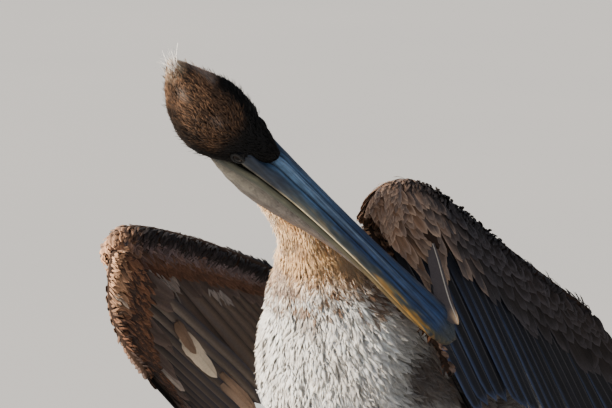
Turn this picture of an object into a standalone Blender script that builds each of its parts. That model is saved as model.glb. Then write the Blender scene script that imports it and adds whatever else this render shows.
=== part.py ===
"""Brown pelican, life size, preening: a still model that stands on its two webbed feet.

Units are metres, +Z is up, and the bird faces -Y, so that its left side is +X.  The bill points down
and back past the left breast, the left wrist is raised beside the neck, the right wing hangs half open.
Every sub-part is one closed solid.  Neighbours stand GAP apart.  The outline is that of the plumage.
"""

import math

import bmesh
import bpy
from mathutils import Matrix, Vector

GAP = 0.0004  # clearance between neighbouring solids

# ---------------------------------------------------------------- driving dimensions
BILL_BASE = Vector((0.047, -0.211, 0.646))  # where the forehead's feathers end on the culmen
BILL_TIP = Vector((0.133, -0.047, 0.464))
CROWN_TOWARDS = Vector((0.94, -0.23, 0.24))  # the way the crown faces
BILL_LENGTH = (BILL_TIP - BILL_BASE).length
CULMEN_LOW = 0.004  # the ridge lies this far under the forehead's point
EYE_RADIUS = 0.0078
EYE_SEAT = Vector((-0.034, 0.0212, -0.022))  # forward, sideways, up from the bill's base

NECK_JOIN = 0.52  # share of the neck's path that belongs to its lower length

GROUND = 0.052  # the floor's level while the bird is being built; main() sets it down to z = 0
FOOT_X, FOOT_Y = 0.064, 0.055  # the left toes' joint on the floor
FOOT_TOP = 0.015
HEEL_HEIGHT = 0.088
TOES = (  # bearing outward from straight ahead in degrees, reach
    ("outer", 24.0, 0.098),
    ("middle", -3.0, 0.108),
    ("inner", -34.0, 0.084),
    ("hind", -112.0, 0.046),
)

TAIL_ROOT = Vector((0.0, 0.232, 0.272))
TAIL_LENGTH = 0.150
TAIL_HALF_ANGLE = math.radians(17.0)

# ---------------------------------------------------------------- materials
FINISHES = {  # slot: colour, roughness
    "brown_feather": ((0.115, 0.085, 0.066), 0.75),
    "head_feather": ((0.095, 0.062, 0.043), 0.80),
    "pale_feather": ((0.62, 0.56, 0.47), 0.85),
    "flight_feather": ((0.050, 0.046, 0.046), 0.55),
    "bill_horn": ((0.16, 0.20, 0.22), 0.35),
    "pouch_skin": ((0.20, 0.17, 0.15), 0.60),
    "leg_skin": ((0.075, 0.078, 0.080), 0.55),
    "claw_horn": ((0.035, 0.032, 0.030), 0.40),
    "eye": ((0.020, 0.014, 0.010), 0.08),
}


def clear_scene():
    for obj in list(bpy.data.objects):
        bpy.data.objects.remove(obj)


def material(slot):
    found = bpy.data.materials.get(slot)
    if found:
        return found
    colour, roughness = FINISHES[slot]
    made = bpy.data.materials.new(slot)
    made.use_nodes = True
    shader = made.node_tree.nodes["Principled BSDF"]
    shader.inputs["Base Color"].default_value = (*colour, 1.0)
    shader.inputs["Roughness"].default_value = roughness
    shader.inputs["Metallic"].default_value = 0.0
    return made


def add_object(name, bm, slot):
    """Closes the books on a bmesh: outward faces, smooth shading, one named object."""
    bmesh.ops.recalc_face_normals(bm, faces=bm.faces)
    if bm.calc_volume(signed=True) < 0:
        bmesh.ops.reverse_faces(bm, faces=bm.faces)
    mesh = bpy.data.meshes.new(name)
    bm.to_mesh(mesh)
    bm.free()
    mesh.shade_smooth()
    mesh.materials.append(material(slot))
    obj = bpy.data.objects.new(name, mesh)
    bpy.context.scene.collection.objects.link(obj)
    return obj


# ---------------------------------------------------------------- curves and lofts
def between(a, b, share):
    return a + (b - a) * share


def smooth_rows(rows, steps):
    """Catmull-Rom through rows of equal length, with `steps` spans between neighbours."""
    out = []
    last = len(rows) - 1
    for i in range(last):
        p0, p1, p2, p3 = rows[max(i - 1, 0)], rows[i], rows[i + 1], rows[min(i + 2, last)]
        for k in range(steps):
            t = k / steps
            out.append(
                tuple(
                    0.5 * (2 * b + (c - a) * t + (2 * a - 5 * b + 4 * c - d) * t**2 + (3 * b - a - 3 * c + d) * t**3)
                    for a, b, c, d in zip(p0, p1, p2, p3)
                )
            )
    out.append(tuple(rows[last]))
    return out


def skin_rings(bm, rings, cap_start=None, cap_end=None):
    """Quads between rings of vertices, with each end closed by a fan to a point."""
    for lower, upper in zip(rings, rings[1:]):
        for i in range(len(lower)):
            j = (i + 1) % len(lower)
            bm.faces.new((lower[i], lower[j], upper[j], upper[i]))
    for ring, point in ((rings[0], cap_start), (rings[-1], cap_end)):
        centre = sum((v.co for v in ring), Vector()) / len(ring)
        pole = bm.verts.new(point if point is not None else centre)
        for i in range(len(ring)):
            bm.faces.new((ring[i], ring[(i + 1) % len(ring)], pole))


def sweep_rings(stations, sides, steps, side):
    """Rings of points round a path through stations (x, y, z, half width, rise, drop).

    The width lies along `side`; rise and drop lie along path x side.
    """
    rows = smooth_rows(stations, steps)
    centres = [Vector(row[:3]) for row in rows]
    rings = []
    for i, (centre, row) in enumerate(zip(centres, rows)):
        along = (centres[min(i + 1, len(rows) - 1)] - centres[max(i - 1, 0)]).normalized()
        up = along.cross(side).normalized()
        across = up.cross(along)
        half, rise, drop = row[3:]
        ring = []
        for k in range(sides):
            turn = 2 * math.pi * k / sides
            height = (rise if math.sin(turn) > 0 else drop) * math.sin(turn)
            ring.append(centre + across * half * math.cos(turn) + up * height)
        rings.append(ring)
    return rings


def tube(name, rings, slot, frame=Matrix.Identity(4)):
    bm = bmesh.new()
    skin_rings(bm, [[bm.verts.new(p) for p in ring] for ring in rings])
    bm.transform(frame)
    return add_object(name, bm, slot)


def sweep(name, stations, sides, steps, slot, side=Vector((1, 0, 0)), frame=Matrix.Identity(4)):
    return tube(name, sweep_rings(stations, sides, steps, side), slot, frame)


def puffed(obj, by=GAP):
    """A cutter: the object's own shape, grown by `by`, left out of the render."""
    mesh = obj.data.copy()
    normals = [v.normal.copy() for v in mesh.vertices]
    for vertex, normal in zip(mesh.vertices, normals):
        vertex.co += normal * by
    cutter = bpy.data.objects.new("cutter_" + obj.name, mesh)
    bpy.context.scene.collection.objects.link(cutter)
    cutter.hide_render = True
    cutter.display_type = "WIRE"
    return cutter


def carve(obj, *others, by=GAP):
    """Cuts the neighbours' shapes, each grown by the gap, out of obj."""
    for other in others:
        cut = obj.modifiers.new("clear_" + other.name, "BOOLEAN")
        cut.operation = "DIFFERENCE"
        cut.solver = "EXACT"
        cut.object = puffed(other, by)
    return obj


# ---------------------------------------------------------------- trunk, neck and head
def make_trunk():
    stations = (  # from the rump up to the foot of the neck
        (0, 0.250, 0.276, 0.026, 0.018, 0.016),
        (0, 0.205, 0.297, 0.060, 0.046, 0.044),
        (0, 0.135, 0.330, 0.090, 0.084, 0.088),
        (0, 0.055, 0.366, 0.106, 0.104, 0.116),
        (0, -0.020, 0.405, 0.109, 0.100, 0.118),
        (0, -0.066, 0.450, 0.098, 0.082, 0.092),
        (0, -0.092, 0.497, 0.070, 0.062, 0.062),
        (0, -0.106, 0.530, 0.050, 0.047, 0.046),
    )
    return sweep("trunk", stations, 24, 2, "pale_feather")


def neck_stations():
    """The neck's axis: up from the breast, forward, then folded back under the head."""
    return (
        (0.000, -0.100, 0.512, 0.054, 0.050, 0.049),
        (0.001, -0.110, 0.540, 0.045, 0.042, 0.041),
        (-0.003, -0.124, 0.574, 0.034, 0.032, 0.032),
        (-0.022, -0.138, 0.606, 0.028, 0.027, 0.028),
        (-0.036, -0.164, 0.638, 0.027, 0.025, 0.026),
        (-0.033, -0.205, 0.666, 0.027, 0.025, 0.026),
        (-0.022, -0.240, 0.688, 0.027, 0.025, 0.026),
        (-0.014, -0.258, 0.699, 0.023, 0.020, 0.020),
    )


def make_neck(head, trunk, lower_bill):
    """Two lengths of one tube, GAP apart where they meet."""
    rings = sweep_rings(neck_stations(), 16, 2, Vector((1, 0, 0)))
    split = round(NECK_JOIN * (len(rings) - 1))
    middle = [sum(ring, Vector()) / len(ring) for ring in (rings[split - 1], rings[split + 1])]
    step = (middle[1] - middle[0]).normalized() * GAP / 2
    lower = rings[:split] + [[p - step for p in rings[split]]]
    upper = [[p + step for p in rings[split]]] + rings[split + 1 :]
    made = [tube("neck_lower", lower, "pale_feather"), tube("neck_upper", upper, "head_feather")]
    carve(made[0], trunk)
    carve(made[1], head, lower_bill)
    return made


def head_frame():
    """Origin at the bill's base, X along the bill, Y to the head's left, Z out of the crown."""
    ahead = (BILL_TIP - BILL_BASE).normalized()
    up = (CROWN_TOWARDS - ahead * CROWN_TOWARDS.dot(ahead)).normalized()
    left = up.cross(ahead)
    return Matrix.Translation(BILL_BASE) @ Matrix((ahead, left, up)).transposed().to_4x4()


def make_head():
    stations = (  # back from the forehead's point to the tip of the nape's crest
        (0.000, 0.000, -0.004, 0.0025, 0.0030, 0.004),
        (-0.012, 0.000, -0.012, 0.0140, 0.0105, 0.021),
        (-0.030, -0.001, -0.023, 0.0260, 0.0220, 0.035),
        (-0.050, -0.003, -0.030, 0.0350, 0.0300, 0.043),
        (-0.072, -0.005, -0.034, 0.0390, 0.0340, 0.044),
        (-0.094, -0.005, -0.034, 0.0350, 0.0330, 0.036),
        (-0.114, -0.003, -0.031, 0.0255, 0.0260, 0.025),
        (-0.131, 0.000, -0.027, 0.0150, 0.0160, 0.015),
        (-0.144, 0.002, -0.024, 0.0060, 0.0060, 0.006),
    )
    return sweep("head", stations, 18, 2, "head_feather", side=Vector((0, -1, 0)), frame=head_frame())


def make_eyes(head):
    made = []
    for name, sign in (("left", 1), ("right", -1)):
        bm = bmesh.new()
        bmesh.ops.create_uvsphere(bm, u_segments=12, v_segments=8, radius=EYE_RADIUS)
        place = head_frame() @ Vector((EYE_SEAT.x, sign * EYE_SEAT.y, EYE_SEAT.z))
        bmesh.ops.translate(bm, verts=bm.verts, vec=place)
        made.append(add_object("eye_" + name, bm, "eye"))
    carve(head, *made)
    return made


# ---------------------------------------------------------------- bill and pouch
BILL_STATIONS = (  # distance from the forehead's point, half width, height of the ridge above the cutting edge
    (-0.044, 0.0215, 0.0260),
    (-0.020, 0.0205, 0.0225),
    (0.005, 0.0185, 0.0190),
    (0.040, 0.0160, 0.0150),
    (0.090, 0.0145, 0.0120),
    (0.140, 0.0145, 0.0105),
    (0.185, 0.0162, 0.0092),
    (0.220, 0.0176, 0.0082),
    (0.240, 0.0160, 0.0078),
    (0.252, 0.0115, 0.0082),
    (0.2585, 0.0065, 0.0070),
    (BILL_LENGTH, 0.0015, 0.0025),
)
NAIL_START, NAIL_DROP = 0.225, 0.0085


def bill_at(x):
    """(half width, ridge height) at distance x, by straight lines between stations."""
    for (x0, *low), (x1, *high) in zip(BILL_STATIONS, BILL_STATIONS[1:]):
        if x <= x1:
            share = min(max((x - x0) / (x1 - x0), 0.0), 1.0)
            return [between(a, b, share) for a, b in zip(low, high)]
    return list(BILL_STATIONS[-1][1:])


def bill_sink(x):
    """How far the nail's hook sinks below the straight of the bill."""
    return NAIL_DROP * (max(0.0, x - NAIL_START) / (BILL_LENGTH - NAIL_START)) ** 2


def make_upper_bill(head):
    """Ridge down the middle, a groove each side of it, side plates that slope to the cutting edge."""
    profile = ((1.0, 0.0), (0.93, 0.34), (0.70, 0.62), (0.42, 0.74), (0.30, 0.70), (0.17, 0.97))
    profile += ((0.0, 1.0),) + tuple((-y, z) for y, z in reversed(profile))
    profile += ((0.0, 0.10),)
    bm = bmesh.new()
    rings = []
    for x, half, high in smooth_rows(BILL_STATIONS, 2):
        centre = Vector((x, 0, -CULMEN_LOW - high - bill_sink(x)))
        rings.append([bm.verts.new(centre + Vector((0, y * half, z * high))) for y, z in profile])
    skin_rings(bm, rings)
    bm.transform(head_frame())
    return carve(add_object("bill_upper", bm, "bill_horn"), head)


def ramus_point(x, sign):
    """Centreline of the lower mandible's bar on one side, bowed out beside the bill's first half."""
    half, high = bill_at(x)
    bow = 0.0036 * math.exp(-(((x - 0.020) / 0.060) ** 2))
    jaw = max(0.0, -x / 0.052)
    tight = 0.0022 + 0.004 * max(0.0, (x - 0.20) / 0.06)
    side = max(half - tight + bow + 0.004 * jaw, 0.0)
    return Vector((x, sign * side, -CULMEN_LOW - high - bill_sink(x) - ramus_size(x)[1] - 0.0008 - 0.010 * jaw))


def ramus_size(x):
    """(half thickness, half height) of the bar."""
    share = min(max((x + 0.05) / 0.30, 0.0), 1.0)
    return between(0.0032, 0.0024, share), between(0.0066, 0.0026, share)


def make_lower_bill(head):
    """One bar round the mouth: up the right side, round the tip and down the left."""
    start, end = -0.046, BILL_LENGTH - 0.009
    steps, sides = 14, 8
    xs = [between(start, end, 1 - (1 - i / steps) ** 1.35) for i in range(steps)]
    path = [ramus_point(x, -1) for x in xs]
    path += [Vector((p.x, -p.y, p.z)) for p in reversed(path)]
    sizes = [ramus_size(x) for x in xs]
    sizes += sizes[::-1]
    bm = bmesh.new()
    rings = []
    for i, (centre, (thick, tall)) in enumerate(zip(path, sizes)):
        along = (path[min(i + 1, len(path) - 1)] - path[max(i - 1, 0)]).normalized()
        out = along.cross(Vector((0, 0, 1))).normalized()
        up = out.cross(along)
        turns = [2 * math.pi * k / sides for k in range(sides)]
        rings.append([bm.verts.new(centre + out * thick * math.cos(a) + up * tall * math.sin(a)) for a in turns])
    skin_rings(bm, rings)
    bm.transform(head_frame())
    return carve(add_object("bill_lower", bm, "bill_horn"), head)


POUCH_STATIONS = (  # distance from the forehead's point, depth of the pouch's keel below it
    (-0.040, 0.064),
    (-0.012, 0.079),
    (0.018, 0.081),
    (0.050, 0.070),
    (0.088, 0.050),
    (0.125, 0.036),
    (0.160, 0.0245),
    (0.200, 0.0190),
    (0.235, 0.0180),
)


def make_pouch(head, lower_bill, upper_bill, necks):
    """The throat's skin, drawn up short under the two bars of the lower mandible."""
    stations = []
    for x, keel in POUCH_STATIONS:
        bar = ramus_point(x, 1)
        tall = ramus_size(x)[1]
        hang = max(keel + bar.z - tall, 0.0006)
        half = max(bar.y - 0.0006 + 0.10 * hang, 0.002)
        stations.append((x, 0, bar.z - tall - 0.35 * hang, half, 0.35 * hang + tall * 1.5, 0.65 * hang))
    made = sweep("pouch", stations, 12, 1, "pouch_skin", side=Vector((0, 1, 0)), frame=head_frame())
    return carve(made, head, lower_bill, upper_bill, *necks)


# ---------------------------------------------------------------- wings and tail
class Path:
    """A smooth line through points, read by its share of length."""

    def __init__(self, points):
        self.points = [Vector(p) for p in smooth_rows([tuple(p) for p in points], 6)]
        self.runs = [0.0]
        for a, b in zip(self.points, self.points[1:]):
            self.runs.append(self.runs[-1] + (b - a).length)

    def at(self, share):
        run = min(max(share, 0.0), 1.0) * self.runs[-1]
        for i in range(len(self.points) - 1):
            if run <= self.runs[i + 1]:
                span = self.runs[i + 1] - self.runs[i]
                return between(self.points[i], self.points[i + 1], (run - self.runs[i]) / span)
        return self.points[-1].copy()

    def tangent(self, share):
        return (self.at(share + 0.02) - self.at(share - 0.02)).normalized()


class Wing:
    """One wing: the lines its feathers are rooted on, how they lie, and the way its back faces."""

    def __init__(self, name, sign, upper_arm, upper_lie, forearm, forearm_lie, hand, hand_lie, outward, hand_outward):
        self.name, self.sign = name, sign
        self.upper_arm, self.upper_lie = Path(upper_arm), [Vector(d).normalized() for d in upper_lie]
        self.forearm, self.forearm_lie = Path(forearm), [Vector(d).normalized() for d in forearm_lie]
        self.hand, self.hand_lie = Path(hand), [Vector(d).normalized() for d in hand_lie]
        self.outward, self.hand_outward = Vector(outward), Vector(hand_outward)


WINGS = (
    Wing(
        "left", 1,
        upper_arm=((0.055, -0.075, 0.458), (0.082, 0.010, 0.462), (0.100, 0.085, 0.452)),
        upper_lie=((-0.12, 0.92, -0.38), (-0.16, 0.92, -0.36)),
        forearm=(
            (0.152, 0.121, 0.468), (0.129, 0.083, 0.499), (0.109, 0.044, 0.531), (0.0925, 0.003, 0.566),
            (0.0795, -0.036, 0.595), (0.065, -0.060, 0.605), (0.0570, -0.076, 0.597), (0.0530, -0.0855, 0.579),
        ),
        forearm_lie=((0.10, 0.66, -0.74), (0.15, 0.50, -0.86), (0.25, 0.36, -0.90), (0.34, 0.31, -0.89)),
        hand=((0.054, -0.079, 0.575), (0.076, -0.062, 0.525), (0.099, -0.044, 0.475), (0.115, -0.028, 0.430)),
        hand_lie=((0.14, 0.56, -0.82), (0.14, 0.52, -0.84), (0.12, 0.48, -0.87)),
        outward=(0.95, -0.27, 0.02), hand_outward=(0.85, 0.30, 0.35),
    ),
    Wing(
        "right", -1,
        upper_arm=((-0.058, -0.080, 0.452), (-0.120, 0.030, 0.448), (-0.170, 0.110, 0.440)),
        upper_lie=((0.05, 0.94, -0.34), (0.20, 0.92, -0.30)),
        forearm=(
            (-0.189, 0.140, 0.4425), (-0.212, 0.086, 0.470), (-0.236, 0.030, 0.496), (-0.258, -0.026, 0.517),
            (-0.274, -0.070, 0.528), (-0.281, -0.092, 0.520), (-0.282, -0.100, 0.503),
        ),
        forearm_lie=((0.05, 0.86, -0.50), (0.12, 0.77, -0.62), (0.19, 0.68, -0.70), (0.20, 0.64, -0.74)),
        hand=(
            (-0.2745, -0.102, 0.515), (-0.2785, -0.105, 0.487), (-0.2775, -0.102, 0.450), (-0.2685, -0.092, 0.416),
            (-0.2555, -0.078, 0.386),
        ),
        hand_lie=((0.20, 0.72, -0.67), (0.22, 0.71, -0.67), (0.26, 0.66, -0.70)),
        outward=(-0.72, 0.51, 0.46), hand_outward=(-0.95, 0.10, -0.20),
    ),
)  # fmt: skip
SECONDARY_REACH = (0.185, 0.200, 0.215, 0.205)  # feather lengths, evenly spaced from elbow to wrist
PRIMARY_REACH = (0.205, 0.240, 0.270)  # and from the wrist to the hand's tip
TERTIAL_REACH = (0.150, 0.150)


def read_along(values, share):
    """The value at a share of the way through evenly spaced ones."""
    place = min(max(share, 0.0), 1.0) * (len(values) - 1)
    i = min(int(place), len(values) - 2)
    return between(values[i], values[i + 1], place - i)


def square_to(direction, axis):
    """The part of `direction` that stands at right angles to `axis`, at length one."""
    axis = axis.normalized()
    return (direction - axis * direction.dot(axis)).normalized()


def vane_fan(name, line, lies, reach, outward, feathers, slot, nose=0.014, thick=0.024, bulge=0.006, per_feather=3, shift=0.0):
    """A fan of overlapping feathers as one solid, round at its root line and thin at its scalloped tips.

    `line` is a Path, `lies` lists directions and `reach` lengths.  The whole fan is shifted by `shift` to its outward side.
    """
    rows = (-1.0, -0.65, 0.0, 0.22, 0.58, 1.0)
    count = feathers * per_feather
    bm = bmesh.new()
    sheets = ([], [])
    for i in range(count + 1):
        share = i / count
        within = 2 * (i / per_feather % 1.0) - 1
        root, lie = line.at(share), read_along(lies, share).normalized()
        length = read_along(reach, share) * (1 - 0.05 * abs(within) ** 2.5)
        across = square_to(outward, lie)
        ahead = -square_to(lie, line.tangent(share))
        root = root + across * shift
        lines = ([], [])
        for t in rows:
            if t < 0:
                place = root - ahead * nose * t
                half = 0.0008 + thick / 2 * math.sqrt(1 - t * t)
            else:
                place = root + lie * length * t
                half = 0.0008 + thick / 2 * (1 - t) ** 2.0
            place = place + across * bulge * math.sin(math.pi * max(t, 0.0) ** 0.7)
            for side, sign in zip(lines, (1, -1)):
                side.append(bm.verts.new(place + across * half * sign))
        for sheet, side in zip(sheets, lines):
            sheet.append(side)
    close_sheets(bm, *sheets)
    return add_object(name, bm, slot)


def close_sheets(bm, top, bottom):
    """Faces over two grids of vertices of the same size and round their rim."""
    for sheet in (top, bottom):
        for a, b in zip(sheet, sheet[1:]):
            for k in range(len(a) - 1):
                bm.faces.new((a[k], a[k + 1], b[k + 1], b[k]))
    for i in range(len(top) - 1):
        for k in (0, -1):
            bm.faces.new((top[i][k], top[i + 1][k], bottom[i + 1][k], bottom[i][k]))
    for i in (0, -1):
        for k in range(len(top[0]) - 1):
            bm.faces.new((top[i][k], top[i][k + 1], bottom[i][k + 1], bottom[i][k]))


def make_preened_feather(upper_bill, lower_bill, forearm):
    """One covert of the left wing, drawn out by the tip of the bill."""
    stations = (
        (0.0930, -0.0475, 0.5600, 0.0035, 0.0008, 0.0008),
        (0.1010, -0.0485, 0.5400, 0.0070, 0.0008, 0.0008),
        (0.1105, -0.0515, 0.5190, 0.0085, 0.0008, 0.0008),
        (0.1195, -0.0540, 0.4990, 0.0080, 0.0008, 0.0008),
        (0.1265, -0.0560, 0.4840, 0.0035, 0.0007, 0.0007),
    )
    made = sweep("wing_left_preened_feather", stations, 6, 2, "flight_feather", side=Vector((0.80, 0.60, 0.0)))
    return carve(made, upper_bill, lower_bill, forearm)


def make_wing(wing, trunk):
    label = "wing_" + wing.name
    forearm = vane_fan(
        label + "_forearm", wing.forearm, wing.forearm_lie, SECONDARY_REACH, wing.outward, 10, "flight_feather"
    )
    hand = vane_fan(
        label + "_hand", wing.hand, wing.hand_lie, PRIMARY_REACH, wing.hand_outward, 9, "flight_feather",
        nose=0.012, thick=0.018, bulge=0.003, per_feather=2, shift=-0.013,
    )  # fmt: skip
    upper = vane_fan(
        label + "_upper_arm", wing.upper_arm, wing.upper_lie, TERTIAL_REACH,
        Vector((0.3 * wing.sign, 0.2, 1)), 5, "brown_feather", nose=0.020, thick=0.030, per_feather=2,
    )  # fmt: skip
    carve(forearm, trunk)
    carve(hand, forearm, trunk)
    carve(upper, trunk, forearm, hand)
    return [forearm, hand, upper]


def make_tail(trunk):
    """The tail as one fan of broad feathers, rounded at its end."""
    feathers, per_feather = 11, 2
    rows = (0.0, 0.3, 0.65, 1.0)
    columns = feathers * per_feather
    bm = bmesh.new()
    sheets = ([], [])
    for i in range(columns + 1):
        side = 2 * i / columns - 1
        turn = side * TAIL_HALF_ANGLE
        notch = 1 - 0.05 * abs(2 * ((i / per_feather) % 1.0) - 1) ** 2.5
        reach = TAIL_LENGTH * (1 - 0.16 * side**2) * notch
        root = TAIL_ROOT + Vector((side * 0.030, 0, -0.004 * side**2))
        lines = ([], [])
        for t in rows:
            place = root + Vector((math.sin(turn), math.cos(turn) * 0.96, -0.22)) * reach * t
            place.z -= 0.012 * side**2 * t
            half = 0.0008 + 0.011 * (1 - t) ** 1.8 * (1 - 0.75 * side**2)
            for line, sign in zip(lines, (1, -1)):
                line.append(bm.verts.new(place + Vector((0, 0, half * sign))))
        for sheet, line in zip(sheets, lines):
            sheet.append(line)
    close_sheets(bm, *sheets)
    return carve(add_object("tail", bm, "flight_feather"), trunk)


# ---------------------------------------------------------------- legs
def make_leg(name, sign, trunk):
    x, y = sign * FOOT_X, FOOT_Y
    heel = Vector((x, y + 0.030, GROUND + HEEL_HEIGHT))
    thigh = sweep(
        f"leg_{name}_thigh",
        (
            (*(heel + Vector((0, 0.001, GAP))), 0.0095, 0.0105, 0.0105),
            (x, y + 0.025, 0.162, 0.0190, 0.021, 0.021),
            (x * 0.97, y + 0.016, 0.190, 0.0310, 0.036, 0.034),
            (x * 0.88, y + 0.002, 0.230, 0.0420, 0.052, 0.046),
            (x * 0.78, y - 0.010, 0.275, 0.0400, 0.050, 0.042),
        ),
        10, 2, "pale_feather",
    )  # fmt: skip
    carve(thigh, trunk)
    shank = sweep(
        f"leg_{name}_shank",
        (
            (x, y, GROUND + FOOT_TOP + GAP, 0.0100, 0.0090, 0.0090),
            (x, y + 0.006, GROUND + 0.030, 0.0072, 0.0080, 0.0080),
            (x, y + 0.015, GROUND + 0.050, 0.0062, 0.0080, 0.0080),
            (x, y + 0.025, GROUND + 0.074, 0.0075, 0.0090, 0.0090),
            (*heel, 0.0092, 0.0100, 0.0100),
        ),
        10, 1, "leg_skin",
    )  # fmt: skip
    carve(shank, thigh)
    return [thigh, shank, make_foot(name, sign), *make_claws(name, sign)]


def toe_ray(bearing, sign):
    turn = math.radians(bearing)
    return Vector((sign * math.sin(turn), -math.cos(turn), 0))


def make_foot(name, sign):
    """A flat sole with four toes as ridges and a web stretched between them."""
    centre = Vector((sign * FOOT_X, FOOT_Y, GROUND))
    spokes = foot_spokes()
    shares = (0.22, 0.50, 0.78, 1.0)
    bm = bmesh.new()
    tops, soles = [], []
    for bearing, reach, ridge in spokes:
        ray = toe_ray(bearing, sign)
        line = []
        for share in shares:
            height = 0.0032 + (FOOT_TOP - 0.0032) * max(0.0, 1 - share / 0.30) ** 0.8
            height = max(height, ridge * (0.0115 - 0.0045 * share))
            line.append(bm.verts.new(centre + ray * reach * share + Vector((0, 0, height))))
        tops.append(line)
        soles.append([bm.verts.new(centre + ray * reach * share) for share in (0.5, 1.0)])
    crown = bm.verts.new(centre + Vector((0, 0, FOOT_TOP)))
    base = bm.verts.new(centre)
    count = len(spokes)
    for i in range(count):
        j = (i + 1) % count
        bm.faces.new((crown, tops[i][0], tops[j][0]))
        for k in range(len(shares) - 1):
            bm.faces.new((tops[i][k], tops[i][k + 1], tops[j][k + 1], tops[j][k]))
        bm.faces.new((tops[i][-1], soles[i][1], soles[j][1], tops[j][-1]))
        bm.faces.new((soles[i][1], soles[i][0], soles[j][0], soles[j][1]))
        bm.faces.new((soles[i][0], base, soles[j][0]))
    return add_object(f"leg_{name}_foot", bm, "leg_skin")


def foot_spokes():
    """(bearing, reach, ridge) round the foot: toes, webs that sag between them, a short heel."""
    spokes = []
    for (_, start, reach_a), (_, end, reach_b) in zip(TOES, TOES[1:]):
        spread = abs(end - start)
        count = max(4, round(spread / 9))
        for k in range(count):
            t = k / count
            bearing = start + (end - start) * t
            sag = 1 - 0.30 * math.sin(math.pi * t) * min(1.0, spread / 50)
            reach = (reach_a + (reach_b - reach_a) * t) * sag
            edge = min(abs(bearing - start), abs(end - bearing))
            spokes.append((bearing, reach, 1.0 if edge < 0.1 else 0.30))
    last, first = TOES[-1], TOES[0]
    spokes.append((last[1], last[2], 1.0))
    for bearing in (-135.0, -165.0, 170.0, 130.0, 90.0, 60.0, 40.0):
        spokes.append((bearing, 0.020, 0.8))
    return spokes


def make_claws(name, sign):
    made = []
    centre = Vector((sign * FOOT_X, FOOT_Y, GROUND))
    for toe, bearing, reach in TOES:
        ray = toe_ray(bearing, sign)
        start = centre + ray * (reach + GAP)
        stations = [
            (*(start + ray * 0.011 * t + Vector((0, 0, 0.0040 - 0.0022 * t * t))), r, r, r)
            for t, r in ((0.0, 0.0026), (0.5, 0.0021), (1.0, 0.0006))
        ]
        side = ray.cross(Vector((0, 0, 1)))
        made.append(sweep(f"claw_{name}_{toe}", stations, 6, 1, "claw_horn", side=side))
    return made


# ---------------------------------------------------------------- whole bird
def stand_on_origin():
    """Moves all of it so that the middle of its box stands over the origin, soles at z = 0."""
    bpy.context.view_layer.update()
    graph = bpy.context.evaluated_depsgraph_get()
    corners = []
    for obj in bpy.context.scene.objects:
        if not obj.hide_render:
            shown = obj.evaluated_get(graph)
            corners += [shown.matrix_world @ Vector(c) for c in shown.bound_box]
    middle = [(min(c[i] for c in corners) + max(c[i] for c in corners)) / 2 for i in range(2)]
    for obj in bpy.context.scene.objects:
        obj.location -= Vector((*middle, GROUND))


def main():
    clear_scene()
    trunk = make_trunk()
    head = make_head()
    make_eyes(head)
    upper_bill = make_upper_bill(head)
    lower_bill = make_lower_bill(head)
    necks = make_neck(head, trunk, lower_bill)
    make_pouch(head, lower_bill, upper_bill, necks)
    wings = [make_wing(wing, trunk) for wing in WINGS]
    make_preened_feather(upper_bill, lower_bill, wings[0][0])
    make_tail(trunk)
    for name, sign in (("left", 1), ("right", -1)):
        make_leg(name, sign, trunk)
    stand_on_origin()


main()
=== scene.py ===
"""The looks of the preening brown pelican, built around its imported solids.

One skin lies under the whole plumage.  The coat over it is solid mesh: narrow blades on the head and neck,
small soft tufts on the body, rows of coverts and quills on the wings and the tail.  The lines that the wings,
the neck and the trunk follow are the same as in the solids; SHIFT carries them into the row's frame.  Lengths
are in metres.
"""

import math

import bmesh
import bpy
import numpy as np
from mathutils import Matrix, Vector
from mathutils.bvhtree import BVHTree
from mathutils.kdtree import KDTree


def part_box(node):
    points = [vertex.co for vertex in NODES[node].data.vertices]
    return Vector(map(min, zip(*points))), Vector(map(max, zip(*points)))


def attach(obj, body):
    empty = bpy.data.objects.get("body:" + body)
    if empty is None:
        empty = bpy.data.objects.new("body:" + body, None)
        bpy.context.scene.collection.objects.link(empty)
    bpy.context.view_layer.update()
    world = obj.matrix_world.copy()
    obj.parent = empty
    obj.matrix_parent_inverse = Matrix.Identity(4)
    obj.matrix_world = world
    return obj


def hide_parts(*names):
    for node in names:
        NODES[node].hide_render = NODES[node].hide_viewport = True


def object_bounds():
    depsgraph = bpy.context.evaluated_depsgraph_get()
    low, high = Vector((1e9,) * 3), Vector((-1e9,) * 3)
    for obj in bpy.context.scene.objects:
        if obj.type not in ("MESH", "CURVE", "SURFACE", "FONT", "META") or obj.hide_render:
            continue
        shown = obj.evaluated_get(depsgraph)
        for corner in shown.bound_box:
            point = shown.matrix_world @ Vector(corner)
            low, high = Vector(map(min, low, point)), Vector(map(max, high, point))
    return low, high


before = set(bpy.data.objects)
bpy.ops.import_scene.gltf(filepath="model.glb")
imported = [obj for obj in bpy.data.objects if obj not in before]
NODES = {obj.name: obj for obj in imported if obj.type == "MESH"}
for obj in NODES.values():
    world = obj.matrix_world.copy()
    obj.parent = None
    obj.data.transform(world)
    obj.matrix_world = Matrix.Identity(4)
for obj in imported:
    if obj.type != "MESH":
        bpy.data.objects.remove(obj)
CAD_BOX = [list(corner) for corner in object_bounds()]
rng = np.random.default_rng(7)

# ---------------------------------------------------------------- places shared with the solids
BILL_BASE = Vector((0.047, -0.211, 0.646))
BILL_TIP = Vector((0.133, -0.047, 0.464))
CROWN_TOWARDS = Vector((0.94, -0.23, 0.24))
BILL_LENGTH = (BILL_TIP - BILL_BASE).length
CULMEN_LOW = 0.004  # how far the ridge runs below the head's X axis
EYE_RADIUS = 0.0078
EYE_SEAT = Vector((-0.034, 0.0212, -0.022))  # the left eye's middle, in the head's own frame
EYE_SUNK = 0.0032  # how far the eyeball's own middle lies inside of that
TAIL_ROOT = Vector((0.0, 0.232, 0.272))
TAIL_LENGTH = 0.150
TAIL_HALF_ANGLE = math.radians(17.0)


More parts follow.
